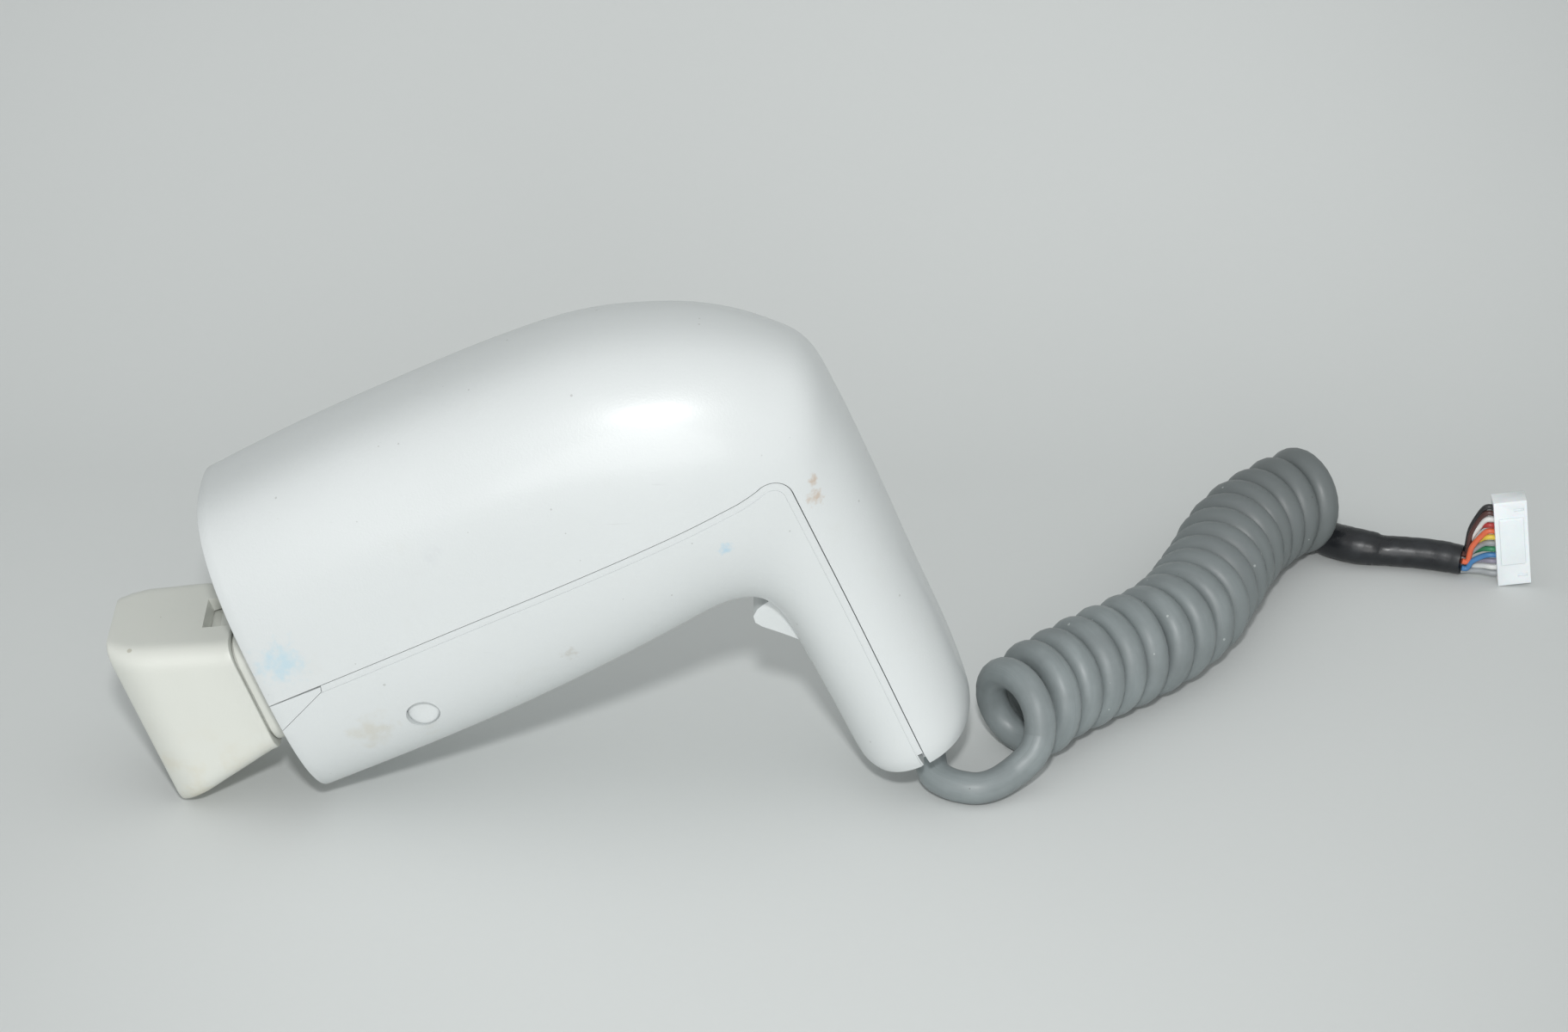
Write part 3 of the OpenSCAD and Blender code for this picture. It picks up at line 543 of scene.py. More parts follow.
def frames_along(points):
    """Two cross directions at each point, carried along without twisting."""
    points = np.array(points, float)
    ways = np.gradient(points, axis=0)
    ways /= np.linalg.norm(ways, axis=1)[:, None]
    side = np.cross(ways[0], (0, 0, 1))
    if np.linalg.norm(side) < 0.1:
        side = np.array((0, 1.0, 0))
    sides = []
    for way in ways:
        side = side - way * (side @ way)
        side /= np.linalg.norm(side)
        sides.append(side)
    sides = np.array(sides)
    return sides, np.cross(ways, sides)


def tube(name, points, radii, sides):
    """A round tube along points in metres, with its length as the second UV."""
    points = np.array(points, float)
    across, over = frames_along(points)
    turn = np.linspace(0, 2 * pi, sides, endpoint=False)
    rings = [points[i] + radii[i] * (np.outer(np.cos(turn), across[i])
                                     + np.outer(np.sin(turn), over[i]))
             for i in range(len(points))]
    piece = loft(name, rings, None)
    along = np.concatenate([[0], np.cumsum(np.linalg.norm(np.diff(points, axis=0), axis=1))])
    uv = piece.data.uv_layers.new(name="along")
    for loop in piece.data.loops:
        i, k = divmod(loop.vertex_index, sides)
        uv.data[loop.index].uv = (k / sides, along[i])
    return smoothed(piece, 60)


def curl_route():
    """The curly part: close turns about an axis that snakes along the floor. They run
    anticlockwise away from the handle, the first one is pulled towards the lead, and
    the last one ends at the floor, where the sleeve takes over."""
    axis = np.array([tuple(on_floor((x, y, 0))) for x, y in smooth(CURLS, 8)])
    steps = np.concatenate([[0], np.cumsum(np.linalg.norm(np.diff(axis, axis=0), axis=1))])
    full = CURL_D / 2 - cord_r
    count = int(TURNS * TURN_STEPS)
    route = []
    for i in range(count + 1):
        turn = i / TURN_STEPS
        # the axis ends half a cord inside the coil's ends
        run = cord_r * MM + (steps[-1] - 2 * cord_r * MM) * i / count
        at = np.array([np.interp(run, steps, axis[:, k]) for k in range(2)])
        ahead = np.array([np.interp(run + 0.002, steps, axis[:, k]) for k in range(2)])
        way = (ahead - at) / max(np.linalg.norm(ahead - at), 1e-9)
        side = np.array((way[1], -way[0]))
        r = full + 0.22 * sin(2.3 * turn) * sin(0.9 * turn) * min(1, turn)
        a = 2 * pi * turn
        pull = max(0.0, 1 - turn / 1.7) ** 1.5 * MM
        spot = at + side * (r * cos(a) * MM) + np.array((-1.2, -4.6)) * pull
        route.append((spot[0], spot[1], (cord_r + full + r * sin(a)) * MM))
    return route


def cord_route():
    """From the clamp in the handle, out of its end, under the first turn and round."""
    open_part = [tuple(cord_start), tuple(exit_at)] + [tuple(on_floor(p)) for p in LEAD]
    curls = curl_route()
    lead = smooth(open_part + [curls[0], curls[2]], 6)[:-6]
    tail = [tuple(on_floor(p[:3])) for p in SLEEVE[:3]]
    end = smooth([curls[-3], curls[-1]] + tail, 6)[7:]
    return np.array(lead + curls[1:] + end, float)


def cord_rubber():
    """Grey extruded PVC: satin, faintly streaked along its length, a little dusty, with painted
    shade that darkens it towards its far coils.
    """
    m = Finish("grey cord", 0.42, Specular_IOR_Level=0.5)
    along = m.add("ShaderNodeUVMap", uv_map="along").outputs[0]
    drawn = m.add("ShaderNodeMapping", {"Vector": along, "Scale": (9.0, 60.0, 1.0)}).outputs[0]
    streak = m.effect(MOTTLE, Place=drawn, Scale=1.0)
    cloud = m.effect(MOTTLE, Scale=55.0)
    base = m.mix(m.ramp(streak, 0.3, 0.7), tone(123, 131, 132), tone(133, 141, 142))
    # painted shade: darker along the cord's length towards its far coils, standing in for the flash
    # falling off there
    distance = m.add("ShaderNodeSeparateXYZ", {0: along}).outputs[1]
    base = m.mix(m.ramp(distance, 0.25, 1.15), base, tone(100, 106, 106))
    base = m.mix(m.ramp(cloud, 0.35, 0.75, 0.0, 0.6), base, tone(106, 112, 113))
    dust = m.effect(SPECKS, Scale=520.0, Amount=0.05)
    dirt = m.effect(SPECKS, Scale=330.0, Amount=0.03)
    base = m.mix(m.math("MULTIPLY", dust, 0.5), base, tone(190, 196, 194))
    m.to("Base Color", m.mix(m.math("MULTIPLY", dirt, 0.6), base, tone(62, 64, 62)))
    m.to("Roughness", m.ramp(cloud, 0.2, 0.8, 0.36, 0.52))
    m.bump(m.effect(GRAIN, Scale=700.0, Waves=0.8), 0.25)
    return m.material


def sleeve_rubber():
    """Black heat-shrink tubing, glossy and slightly puckered."""
    m = Finish("black sleeve", 0.3)
    pucker = m.effect(MOTTLE, Scale=160.0)
    m.to("Base Color", m.mix(m.ramp(pucker, 0.4, 0.7), tone(25, 27, 30), tone(37, 40, 43)))
    m.to("Roughness", m.ramp(pucker, 0.3, 0.7, 0.26, 0.42))
    m.bump(m.effect(GRAIN, Scale=260.0, Waves=2.0), 0.35, 0.0004)
    return m.material


def wire_cover():
    """PVC wire covers, each in the colour that its wire carries."""
    m = Finish("wire covers", 0.38)
    tint = m.add("ShaderNodeAttribute", attribute_name="tint").outputs["Color"]
    worn = m.effect(MOTTLE, Scale=300.0)
    m.to("Base Color", m.mix(m.math("MULTIPLY", worn, 0.2), tint, tone(120, 120, 120)))
    m.bump(m.effect(GRAIN, Scale=900.0, Waves=0.3), 0.15)
    return m.material


def wire_end(k):
    """Where a wire goes into the back of the plug."""
    step = (PLUG_H - 5) / (len(BUNDLE) - 1)
    d, h, lean = -PLUG_W / 2, PLUG_H - 2.5 - k * step, radians(PLUG_LEAN)
    return np.array((PLUG_AT[0] + d * cos(lean) + h * sin(lean), PLUG_AT[1],
                     PLUG_W / 2 * sin(abs(lean)) - d * sin(lean) + h * cos(lean)))


def wire_route(k):
    """A wire's way from the sleeve's end to the plug, each with its own sway."""
    end, (r, a) = wire_end(k), BUNDLE[k]
    start = np.array(SLEEVE_END) + (-0.5, r * cos(radians(a)), r * sin(radians(a)))
    reach, rise = end[0] - start[0], end[2] - start[2]
    sway = 0.5 * sin(2.4 * k)
    rows = [start, start + (1.5, 0, 0),
            (start[0] + 0.3 * reach, start[1] + 0.3 * (end[1] - start[1]) + 0.4 * sway,
             start[2] + 0.45 * rise),
            (start[0] + 0.6 * reach, start[1] + 0.65 * (end[1] - start[1]) + sway * 0.6,
             start[2] + 0.84 * rise),
            end - (1.5, 0, -0.1), end + (0.4, 0, 0)]
    return [tuple(on_floor(p)) for p in smooth(rows, 5)]


WIRE_TINTS = [(26, 26, 28), (78, 40, 34), (222, 222, 220), (176, 44, 40), (222, 102, 62),
              (226, 200, 70), (150, 154, 156), (44, 132, 88), (60, 122, 176),
              (138, 134, 150), (218, 220, 218), (160, 164, 166)]


def lead_wires():
    """The twelve wires as one mesh, each tinted through an attribute."""
    whole, cover = bmesh.new(), wire_cover()
    whole.loops.layers.float_color.new("tint")
    for k, tint in enumerate(WIRE_TINTS):
        route = wire_route(k)
        one = tube("wire", route, [WIRE_D / 2 * MM] * len(route), 14)
        before = len(whole.faces)
        whole.from_mesh(one.data)
        whole.faces.ensure_lookup_table()
        layer = whole.loops.layers.float_color["tint"]
        for face in whole.faces[before:]:
            for corner in face.loops:
                corner[layer] = tone(*tint)
        bpy.data.objects.remove(one)
    mesh = bpy.data.meshes.new("wires")
    whole.to_mesh(mesh)
    whole.free()
    piece = bpy.data.objects.new("coloured_wires", mesh)
    bpy.context.scene.collection.objects.link(piece)
    return hand_over(smoothed(piece, 60), "housing", "wires", "lead_wires", material=cover)


def plug_plastic():
    """Milky white nylon with a faint waxy gloss."""
    m = Finish("plug nylon", 0.35, Subsurface_Weight=0.15, Subsurface_Scale=0.002)
    cloud = m.effect(MOTTLE, Scale=180.0)
    m.to("Base Color", m.mix(cloud, tone(226, 231, 234), tone(238, 242, 243)))
    m.bump(m.effect(GRAIN, Scale=800.0, Waves=0.3), 0.12)
    return m.material


def cords():
    """The cord with its sleeve, its wires and its plug."""
    route = cord_route()
    cord = tube("curly_cord", route, [cord_r * MM] * len(route), 20)
    hand_over(cord, "housing", "cord", "cord_lead", "cord_coil", material=cord_rubber())

    rows = smooth(SLEEVE, 6)
    pucker = [0.06 * sin(2.1 * i) * sin(0.7 * i) for i in range(len(rows))]
    sleeve = tube("sleeve", [tuple(on_floor(r[:3])) for r in rows],
                  [(r[3] + p) * MM for r, p in zip(rows, pucker)], 28)
    hand_over(sleeve, "housing", "sleeve", "shrink_sleeve", material=sleeve_rubber())

    nylon = plug_plastic()
    body = hand_over(soft_edges(merged_copy("plug_housing", "plug_body"), 0.25),
                     "housing", "plug", "plug_housing", material=nylon)
    panel = hand_over(soft_edges(merged_copy("plug_latch", "plug_panel"), 0.25),
                      "housing", "plug", "plug_latch", material=nylon)
    lead_wires()


cords()

# --- Housings ----------------------------------------------------------------

# From the mouth to the handle's end: bottom or inner point, top or outer point,
# half width, and how square the oval is
lean_x, lean_z = half_h * sin(radians(MOUTH_LEAN)), half_h * cos(radians(MOUTH_LEAN))
SECTIONS = [
    (-lean_x, -lean_z, lean_x, lean_z, half_w, 2.8),
    (0.19 * BARREL_L, -half_h, 0.21 * BARREL_L, half_h + 1.4, half_w + 1, 2.8),
    (0.38 * BARREL_L, -half_h + 0.4, 0.41 * BARREL_L, CROWN_H + 0.5, mid_w - 0.8, 2.7),
    (0.55 * BARREL_L, -BELLY_D - 1.2, 0.61 * BARREL_L, CROWN_H + 0.3, mid_w, 2.6),
    (0.69 * BARREL_L, -BELLY_D + 0.4, 0.77 * BARREL_L, CROWN_H - 1.5, mid_w, 2.5),
    (0.77 * BARREL_L, -BELLY_D + 1.4, 0.9 * BARREL_L, CROWN_H - 6.5, mid_w - 0.8, 2.4),
    (handle_front - 7.5, -BELLY_D + 1, BARREL_L, CROWN_H - 13, mid_w - 2.5, 2.4),
    (handle_front - 2.8, -BELLY_D - 2, handle_back - 5.5, CROWN_H - 21, mid_w - 4.5, 2.3),
    (handle_front - 0.6, -BELLY_D - 7.5, handle_back + 1.2, CROWN_H - 30, mid_w - 6.5, 2.3),
    (handle_front, -BELLY_D - 17, handle_back + 2.5, CROWN_H - 44, grip_w + 2.5, 2.2),
    (handle_front, -0.7 * HANDLE_L, handle_back + 2, -0.28 * HANDLE_L, grip_w + 1, 2.2),
    (handle_front, -0.81 * HANDLE_L, handle_back + 1, -0.54 * HANDLE_L, grip_w + 0.3, 2.1),
    (handle_front, -0.9 * HANDLE_L, handle_back + 0.2, -0.77 * HANDLE_L, grip_w, 2.1),
    (handle_front + 0.3, 3 - HANDLE_L, handle_back - 1.5, 6 - HANDLE_L, grip_w - 0.4, 2.1),
    (handle_front + 1.6, -HANDLE_L, handle_back - 4, -HANDLE_L, grip_w - 1.8, 2.1),
]
END_WALL = 2.5
# How far out the cutting prisms, and the cutting rods and blocks, go past the sides
PRISM_END, CUT_END = 70, 60
SCREW_X, SCREW_Z, RECESS_R = 31, -24.5, 4
HEAD_H, LUG_T, LUG_HALF, SCREW_FLOOR, CLEAR = 1.8, 2.8, 4, 1.4, 0.3
SHANK_R, BOSS_WALL = 1.5, 1.6
SCREW_SEAT = DUCT_W / 2 + 2 * CLEAR + LUG_T + SCREW_FLOOR


def oval(row, inset, sides):
    """One evenly spaced section of the housing, moved inwards by an inset."""
    low, high = np.array(row[:2]), np.array(row[2:4])
    half = np.linalg.norm(high - low) / 2
    up, mid, power = (high - low) / (2 * half), (high + low) / 2, 2 / row[5]
    a = np.linspace(0, 2 * pi, 720, endpoint=False)
    y = (row[4] - inset) * np.sign(np.cos(a)) * np.abs(np.cos(a)) ** power
    h = (half - inset) * np.sign(np.sin(a)) * np.abs(np.sin(a)) ** power
    return even(np.stack([mid[0] + up[0] * h, y, mid[1] + up[1] * h], 1), sides)


def skin_of(name, inset=0.0):
    """The housings' outer skin, with a small radius at the mouth and the end."""
    edge, sides = 0.5, 88
    rows = smooth(SECTIONS, 6)
    near = [(rows[0] + (rows[1] - rows[0]) * t / 3.9, inset + edge * (1 - d))
            for t, d in ((0, 0), (0.06, 0.5), (0.2, 0.85), (0.42, 1))]
    last = rows[-1] - rows[-2]
    far = [(rows[-2] + last * t, inset + edge * 1.6 * (1 - d))
           for t, d in ((0.35, 1), (0.7, 0.85), (0.9, 0.5), (1.0, 0))]
    plain = [(row, inset) for row in rows[1:-1]]
    piece = loft(name, [oval(row, i, sides) for row, i in near + plain + far], STAND)
    # flat triangles, so that the cuts made later leave clean rims
    piece.modifiers.new("flat", "TRIANGULATE")
    return evaluated(piece)


def hollow():
    """The space inside: through the mouth, and short of the handle's end."""
    rows = [np.array(s, float) for s in SECTIONS]
    rows[0] = rows[0] + (-1, 0, -1, 0, 0, 0)
    rows[-1] = rows[-1] + (-0.8, END_WALL, 0.8, END_WALL, 0.8, 0)
    return loft("hollow", [oval(row, WALL, 56) for row in smooth(rows, 4)], STAND)


def joint_outline(grow):
    """Side view of all that is below and in front of the joint line."""
    cx, cz = joint_x + JOINT_SLANT - JOINT_BUMP, joint_z + JOINT_RISE - JOINT_BUMP + 1
    r = JOINT_BUMP + grow
    arc = [(cx + r * cos(t), cz + r * sin(t)) for t in np.linspace(0, radians(112), 16)]
    rise = joint_z + JOINT_RISE + grow
    slope = JOINT_RISE / cx
    ease = [(cx - 4.2, rise + 0.32 - 4.2 * slope), (cx - 7, rise + 0.05 - 7 * slope)]
    return [(-30, -HANDLE_L - 30), (joint_x + grow, -HANDLE_L - 30),
            (joint_x + grow, -HANDLE_L)] + arc + ease + [(0, joint_z + grow), (-30, joint_z + grow)]


def below_joint(grow):
    """All that is below the joint line, right through from side to side."""
    return prism("below_joint", joint_outline(grow), -PRISM_END, PRISM_END, STAND)


def clip_outline(grow):
    """Side view of the corner clip under the joint line at the mouth."""
    return [(-15, joint_z + SEAM), (13.4 + grow, joint_z + SEAM),
            (12.8 + grow, joint_z - 1.4 - grow), (0.6 + grow, joint_z - 6.8 - grow),
            (-15, joint_z - 13.5 - grow)]


def end_cuts():
    """The cord's hole in the end wall, and the notches beside it."""
    cuts = [rod("cord_hole", cord_r + 1.3, (BARREL_L, 0, -HANDLE_L - 5),
                (BARREL_L, 0, -HANDLE_L + 7), STAND)]
    for s in (-1, 1):
        y = s * (grip_w - 3)
        cuts.append(brick("notch", (joint_x - 1.4, y - 3, -HANDLE_L - 1),
                          (joint_x + 0.2, y + 3, -HANDLE_L + 4), STAND))
    return cuts


def side_rod(name, r, y0, y1, side):
    """A rod along a front screw, from y0 to y1 outwards from the middle."""
    return rod(name, r, (SCREW_X, side * y0, SCREW_Z), (SCREW_X, side * y1, SCREW_Z), STAND)


def lower_housing():
    """The lower shell: belly, handle's front, screw bosses and the trigger's opening.
    A narrow band beside the joint line is set in a little, as a lip."""
    lip, step = 1.7, 0.3
    inside = hollow()
    carved(inside, cut=[side_rod("boss", RECESS_R + BOSS_WALL, SCREW_SEAT - SCREW_FLOOR,
                                 CUT_END, side) for side in (-1, 1)])
    main = carved(skin_of("lower_shell"), keep=[below_joint(-SEAM / 2 - lip)])
    band = carved(skin_of("lip_band", inset=step), keep=[below_joint(-SEAM / 2)],
                  cut=[below_joint(-SEAM / 2 - lip - 0.4)])
    cuts = [inside, prism("clip_gap", clip_outline(0.05), -PRISM_END, PRISM_END, STAND),
            prism("trigger_gap", [
                (handle_front - 12, -BELLY_D - 1.4), (hinge_x + 4, -BELLY_D - 1.4),
                (hinge_x + 4, hinge_z + 1), (handle_front - 12, hinge_z + 1)],
                -7, 7, STAND)] + end_cuts()
    for side in (-1, 1):
        cuts.append(side_rod("recess", RECESS_R, SCREW_SEAT, CUT_END, side))
        cuts.append(side_rod("shank_hole", SHANK_R + 0.2, SCREW_SEAT - 3, SCREW_SEAT + 2, side))
    return carved(main, add=[band], cut=cuts)


def screw_cap(side):
    """A round cover with a slightly domed face, set into a screw's recess."""
    low, rim, brim, dome = SCREW_SEAT + HEAD_H + 0.2, RECESS_R - 0.02, RECESS_R - 0.3, 0.5
    shoulder = low + 0.9
    rings = [(rim, low), (rim, low + 0.6), (brim, shoulder)]
    rings += [(brim * cos(a), shoulder + dome * sin(a)) for a in np.linspace(0.2, 1.45, 7)]
    turn = np.linspace(0, 2 * pi, ROUND, endpoint=False)
    return loft("screw_cap", [[(SCREW_X + r * cos(t), side * y, SCREW_Z + r * sin(t))
                               for t in turn] for r, y in rings], STAND)


# --- Repeats, made by geometry nodes -----------------------------------------

def repeat_tree(name, inputs):
    """A geometry tree with the named inputs, and its closing nodes."""
    net, given, out = new_group(name, "GeometryNodeTree", {"Geometry": (SHAPE, None), **inputs},
                                {"Geometry": (SHAPE, None)})

    def close(geometry):
        real = net.add("GeometryNodeRealizeInstances", {0: geometry})
        done = net.add("GeometryNodeSetMaterial",
                       {"Geometry": real.outputs[0], "Material": given["Material"]})
        net.tree.links.new(done.outputs[0], out["Geometry"])
    return net, given, close


def made_by(tree, name, place, **values):
    """A new mesh that a geometry tree makes from its named inputs."""
    piece = new_piece(name, [(0, 0, 0)], [])
    step = piece.modifiers.new(name, "NODES")
    step.node_group = tree
    sockets = {s.name: s for s in tree.interface.items_tree if s.in_out == "INPUT"}
    for key, value in values.items():
        step[sockets[key].identifier] = value
    evaluated(piece)
    piece.data.transform(place)
    return piece


NUMBER, PAINT = "NodeSocketInt", "NodeSocketMaterial"


def slot_row_tree():
    """Round-ended bars one above another, which cut the air slots."""
    net, given, close = repeat_tree("Slot row", {
        "Count": (NUMBER, 7), "Pitch": (FLOAT, 4.2), "Length": (FLOAT, 38.0),
        "Height": (FLOAT, 2.4), "Depth": (FLOAT, 30.0), "Material": (PAINT, None)})
    step = net.add("ShaderNodeCombineXYZ", {2: given["Pitch"]})
    places = net.add("GeometryNodeMeshLine", {"Count": given["Count"],
                                              "Offset": step.outputs[0]})
    radius = net.math("MULTIPLY", given["Height"], 0.5)
    outline = net.add("GeometryNodeCurvePrimitiveQuadrilateral",
                      {"Width": given["Length"], "Height": given["Height"]})
    soft = net.add("GeometryNodeFilletCurve", {
        "Curve": outline.outputs[0], "Count": 6,
        "Radius": net.math("MULTIPLY", radius, 0.98)}, mode="POLY")
    flat = net.add("GeometryNodeFillCurve", {0: soft.outputs[0]}, mode="NGONS")
    solid = net.add("GeometryNodeExtrudeMesh", {
        "Mesh": flat.outputs[0], "Offset Scale": given["Depth"], "Individual": False})
    lid = net.add("GeometryNodeFlipFaces", {0: flat.outputs[0]})
    both = net.add("GeometryNodeJoinGeometry")
    net.tree.links.new(solid.outputs["Mesh"], both.inputs[0])
    net.tree.links.new(lid.outputs[0], both.inputs[0])
    whole = net.add("GeometryNodeMergeByDistance", {"Geometry": both.outputs[0],
                                                    "Distance": 0.001})
    turned = net.add("GeometryNodeTransform", {"Geometry": whole.outputs[0],
                                               "Rotation": (-pi / 2, 0, 0)})
    close(net.add("GeometryNodeInstanceOnPoints", {
        "Points": places.outputs[0], "Instance": turned.outputs[0]}).outputs[0])
    return net.tree


def screw_tree():
    """Pan heads with a cross slot on their shanks, one at each given point."""
    net, given, close = repeat_tree("Screws", {
        "Count": (NUMBER, 2), "Spacing": (FLOAT, 44.0), "Head": (FLOAT, 2.9),
        "Height": (FLOAT, 2.2), "Shank": (FLOAT, 1.5), "Reach": (FLOAT, 20.0),
        "Material": (PAINT, None)})
    half = net.math("MULTIPLY", given["Spacing"], 0.5)
    low = net.add("ShaderNodeCombineXYZ", {1: net.math("MULTIPLY", half, -1.0)})
    high = net.add("ShaderNodeCombineXYZ", {1: half})
    places = net.add("GeometryNodeMeshLine", {
        "Count": given["Count"], "Start Location": low.outputs[0],
        "Offset": high.outputs[0]},
        mode="END_POINTS")
    # the profile of a pan head, turned about the screw's axis
    dome = net.add("GeometryNodeMeshUVSphere", {"Segments": 40, "Rings": 20,
                                                "Radius": given["Head"]})
    squash = net.add("GeometryNodeTransform", {
        "Geometry": dome.outputs[0],
        "Scale": net.add("ShaderNodeCombineXYZ", {0: 1.0, 1: 1.0, 2: net.math(
            "DIVIDE", given["Height"], given["Head"])}).outputs[0]})
    keep = net.add("GeometryNodeMeshCube", {"Size": (20.0, 20.0, 20.0)})
    above = net.add("GeometryNodeTransform", {"Geometry": keep.outputs[0],
                                              "Translation": (0, 0, 10.0)})
    head = net.add("GeometryNodeMeshBoolean", operation="INTERSECT", solver="EXACT")
    net.tree.links.new(squash.outputs[0], head.inputs["Mesh 2"])
    net.tree.links.new(above.outputs[0], head.inputs["Mesh 2"])
    depth = net.math("MULTIPLY", given["Height"], 0.55)
    bar = net.add("GeometryNodeMeshCube", {"Size": net.add("ShaderNodeCombineXYZ", {
        0: net.math("MULTIPLY", given["Head"], 1.4), 1: 0.8, 2: given["Height"]}).outputs[0]})
    lifted = net.add("GeometryNodeTransform", {
        "Geometry": bar.outputs[0],
        "Translation": net.add("ShaderNodeCombineXYZ", {2: net.math(
            "ADD", depth, net.math("MULTIPLY", given["Height"], 0.5))}).outputs[0]})
    crossed = net.add("GeometryNodeTransform", {"Geometry": lifted.outputs[0],
                                                "Rotation": (0, 0, pi / 2)})
    slotted = net.add("GeometryNodeMeshBoolean", {"Mesh 1": head.outputs[0]},
                      operation="DIFFERENCE", solver="EXACT")
    net.tree.links.new(lifted.outputs[0], slotted.inputs["Mesh 2"])
    net.tree.links.new(crossed.outputs[0], slotted.inputs["Mesh 2"])
    shank = net.add("GeometryNodeMeshCylinder", {
        "Vertices": 24, "Radius": given["Shank"], "Depth": given["Reach"]})
    sunk = net.add("GeometryNodeTransform", {
        "Geometry": shank.outputs[0],
        "Translation": net.add("ShaderNodeCombineXYZ", {2: net.math(
            "MULTIPLY", given["Reach"], -0.5)}).outputs[0]})
    whole = net.add("GeometryNodeJoinGeometry")
    net.tree.links.new(slotted.outputs[0], whole.inputs[0])
    net.tree.links.new(sunk.outputs[0], whole.inputs[0])
    close(net.add("GeometryNodeInstanceOnPoints", {
        "Points": places.outputs[0], "Instance": whole.outputs[0]}).outputs[0])
    return net.tree


def winding_tree():
    """A wound wire: a helix given the wire's thickness."""
    net, given, close = repeat_tree("Winding", {
        "Turns": (FLOAT, 7.0), "Radius": (FLOAT, 10.2), "Length": (FLOAT, 44.0),
        "Wire": (FLOAT, 0.5), "Material": (PAINT, None)})
    helix = net.add("GeometryNodeCurveSpiral", {
        "Resolution": 40, "Rotations": given["Turns"], "Start Radius": given["Radius"],
        "End Radius": given["Radius"], "Height": given["Length"]})
    ring = net.add("GeometryNodeCurvePrimitiveCircle", {"Resolution": 8,
                                                        "Radius": given["Wire"]})
    close(net.add("GeometryNodeCurveToMesh", {
        "Curve": helix.outputs[0], "Profile Curve": ring.outputs[0],
        "Fill Caps": True}).outputs[0])
    return net.tree


def weave_tree():
    """One set of parallel wires of a woven screen, each waving over and under."""
    net, given, close = repeat_tree("Weave", {
        "Count": (NUMBER, 20), "Pitch": (FLOAT, 1.0), "Length": (FLOAT, 30.0),
        "Wire": (FLOAT, 0.18), "Phase": (FLOAT, 0.0), "Material": (PAINT, None)})
    end = net.add("ShaderNodeCombineXYZ", {0: given["Length"]})
    line = net.add("GeometryNodeCurvePrimitiveLine", {"End": end.outputs[0]})
    fine = net.add("GeometryNodeResampleCurve", {"Curve": line.outputs[0], "Length": net.math(
        "MULTIPLY", given["Pitch"], 0.5)}, mode="LENGTH")
    at = net.add("GeometryNodeInputPosition").outputs[0]
    x = net.add("ShaderNodeSeparateXYZ", {0: at}).outputs[0]
    wave = net.math("MULTIPLY", net.math("SINE", net.math("ADD", net.math(
        "DIVIDE", net.math("MULTIPLY", x, pi), given["Pitch"]), given["Phase"])), given["Wire"])
    waved = net.add("GeometryNodeSetPosition", {
        "Geometry": fine.outputs[0],
        "Offset": net.add("ShaderNodeCombineXYZ", {1: wave}).outputs[0]})
    ring = net.add("GeometryNodeCurvePrimitiveCircle", {"Resolution": 6,
                                                        "Radius": given["Wire"]})
    wire = net.add("GeometryNodeCurveToMesh", {
        "Curve": waved.outputs[0], "Profile Curve": ring.outputs[0], "Fill Caps": True})
    row = net.add("GeometryNodeMeshLine", {
        "Count": given["Count"],
        "Offset": net.add("ShaderNodeCombineXYZ", {2: given["Pitch"]}).outputs[0]})
    close(net.add("GeometryNodeInstanceOnPoints", {
        "Points": row.outputs[0], "Instance": wire.outputs[0]}).outputs[0])
    return net.tree


SLOTS, SLOT_PITCH, SLOT_L, SLOT_H = 6, 4.2, 38, 2.4
slot_z = joint_z + 4.5


def upper_housing():
    """The upper shell: barrel's top, crown, handle's back, and the far side's slots."""
    slots = made_by(slot_row_tree(), "slot_row",
                    STAND @ Matrix.Translation((fan_x, mid_w - 12, slot_z + SLOT_H / 2)),
                    Count=SLOTS, Pitch=SLOT_PITCH, Length=float(SLOT_L), Height=SLOT_H)
    lugs, low = [], SCREW_SEAT - SCREW_FLOOR - CLEAR - LUG_T
    for side in (-1, 1):
        # a flat lug on the screw, and the arm that joins it to the shell's wall
        for z0, z1, reach in ((SCREW_Z - LUG_HALF, joint_z + 5, LUG_T),
                              (joint_z + 1, joint_z + 5, half_w - 0.5 - low)):
            y0, y1 = sorted((side * low, side * (low + reach)))
            lugs.append(brick("lug", (SCREW_X - LUG_HALF, y0, z0),
                              (SCREW_X + LUG_HALF, y1, z1), STAND))
    holes = [side_rod("screw_hole", SHANK_R, SCREW_SEAT - 8, SCREW_SEAT, side)
             for side in (-1, 1)]
    shell = carved(skin_of("upper_shell"),
                   cut=[hollow(), below_joint(SEAM / 2), slots] + end_cuts())
    return carved(carved(shell, add=lugs), cut=holes)


def corner_clips():
    """The small corner pieces that close the joint at the mouth."""
    deep = 8
    return carved(skin_of("clips", inset=0.06),
                  keep=[prism("clip_side", clip_outline(-0.04), -PRISM_END, PRISM_END, STAND)],
                  cut=[hollow(), brick("above", (-30, -CUT_END, joint_z - SEAM / 2),
                                       (50, CUT_END, joint_z + 20), STAND),
                       brick("between", (-20, deep - half_w, -40), (40, half_w - deep, 20),
                             STAND)])


# --- Nozzle ------------------------------------------------------------------

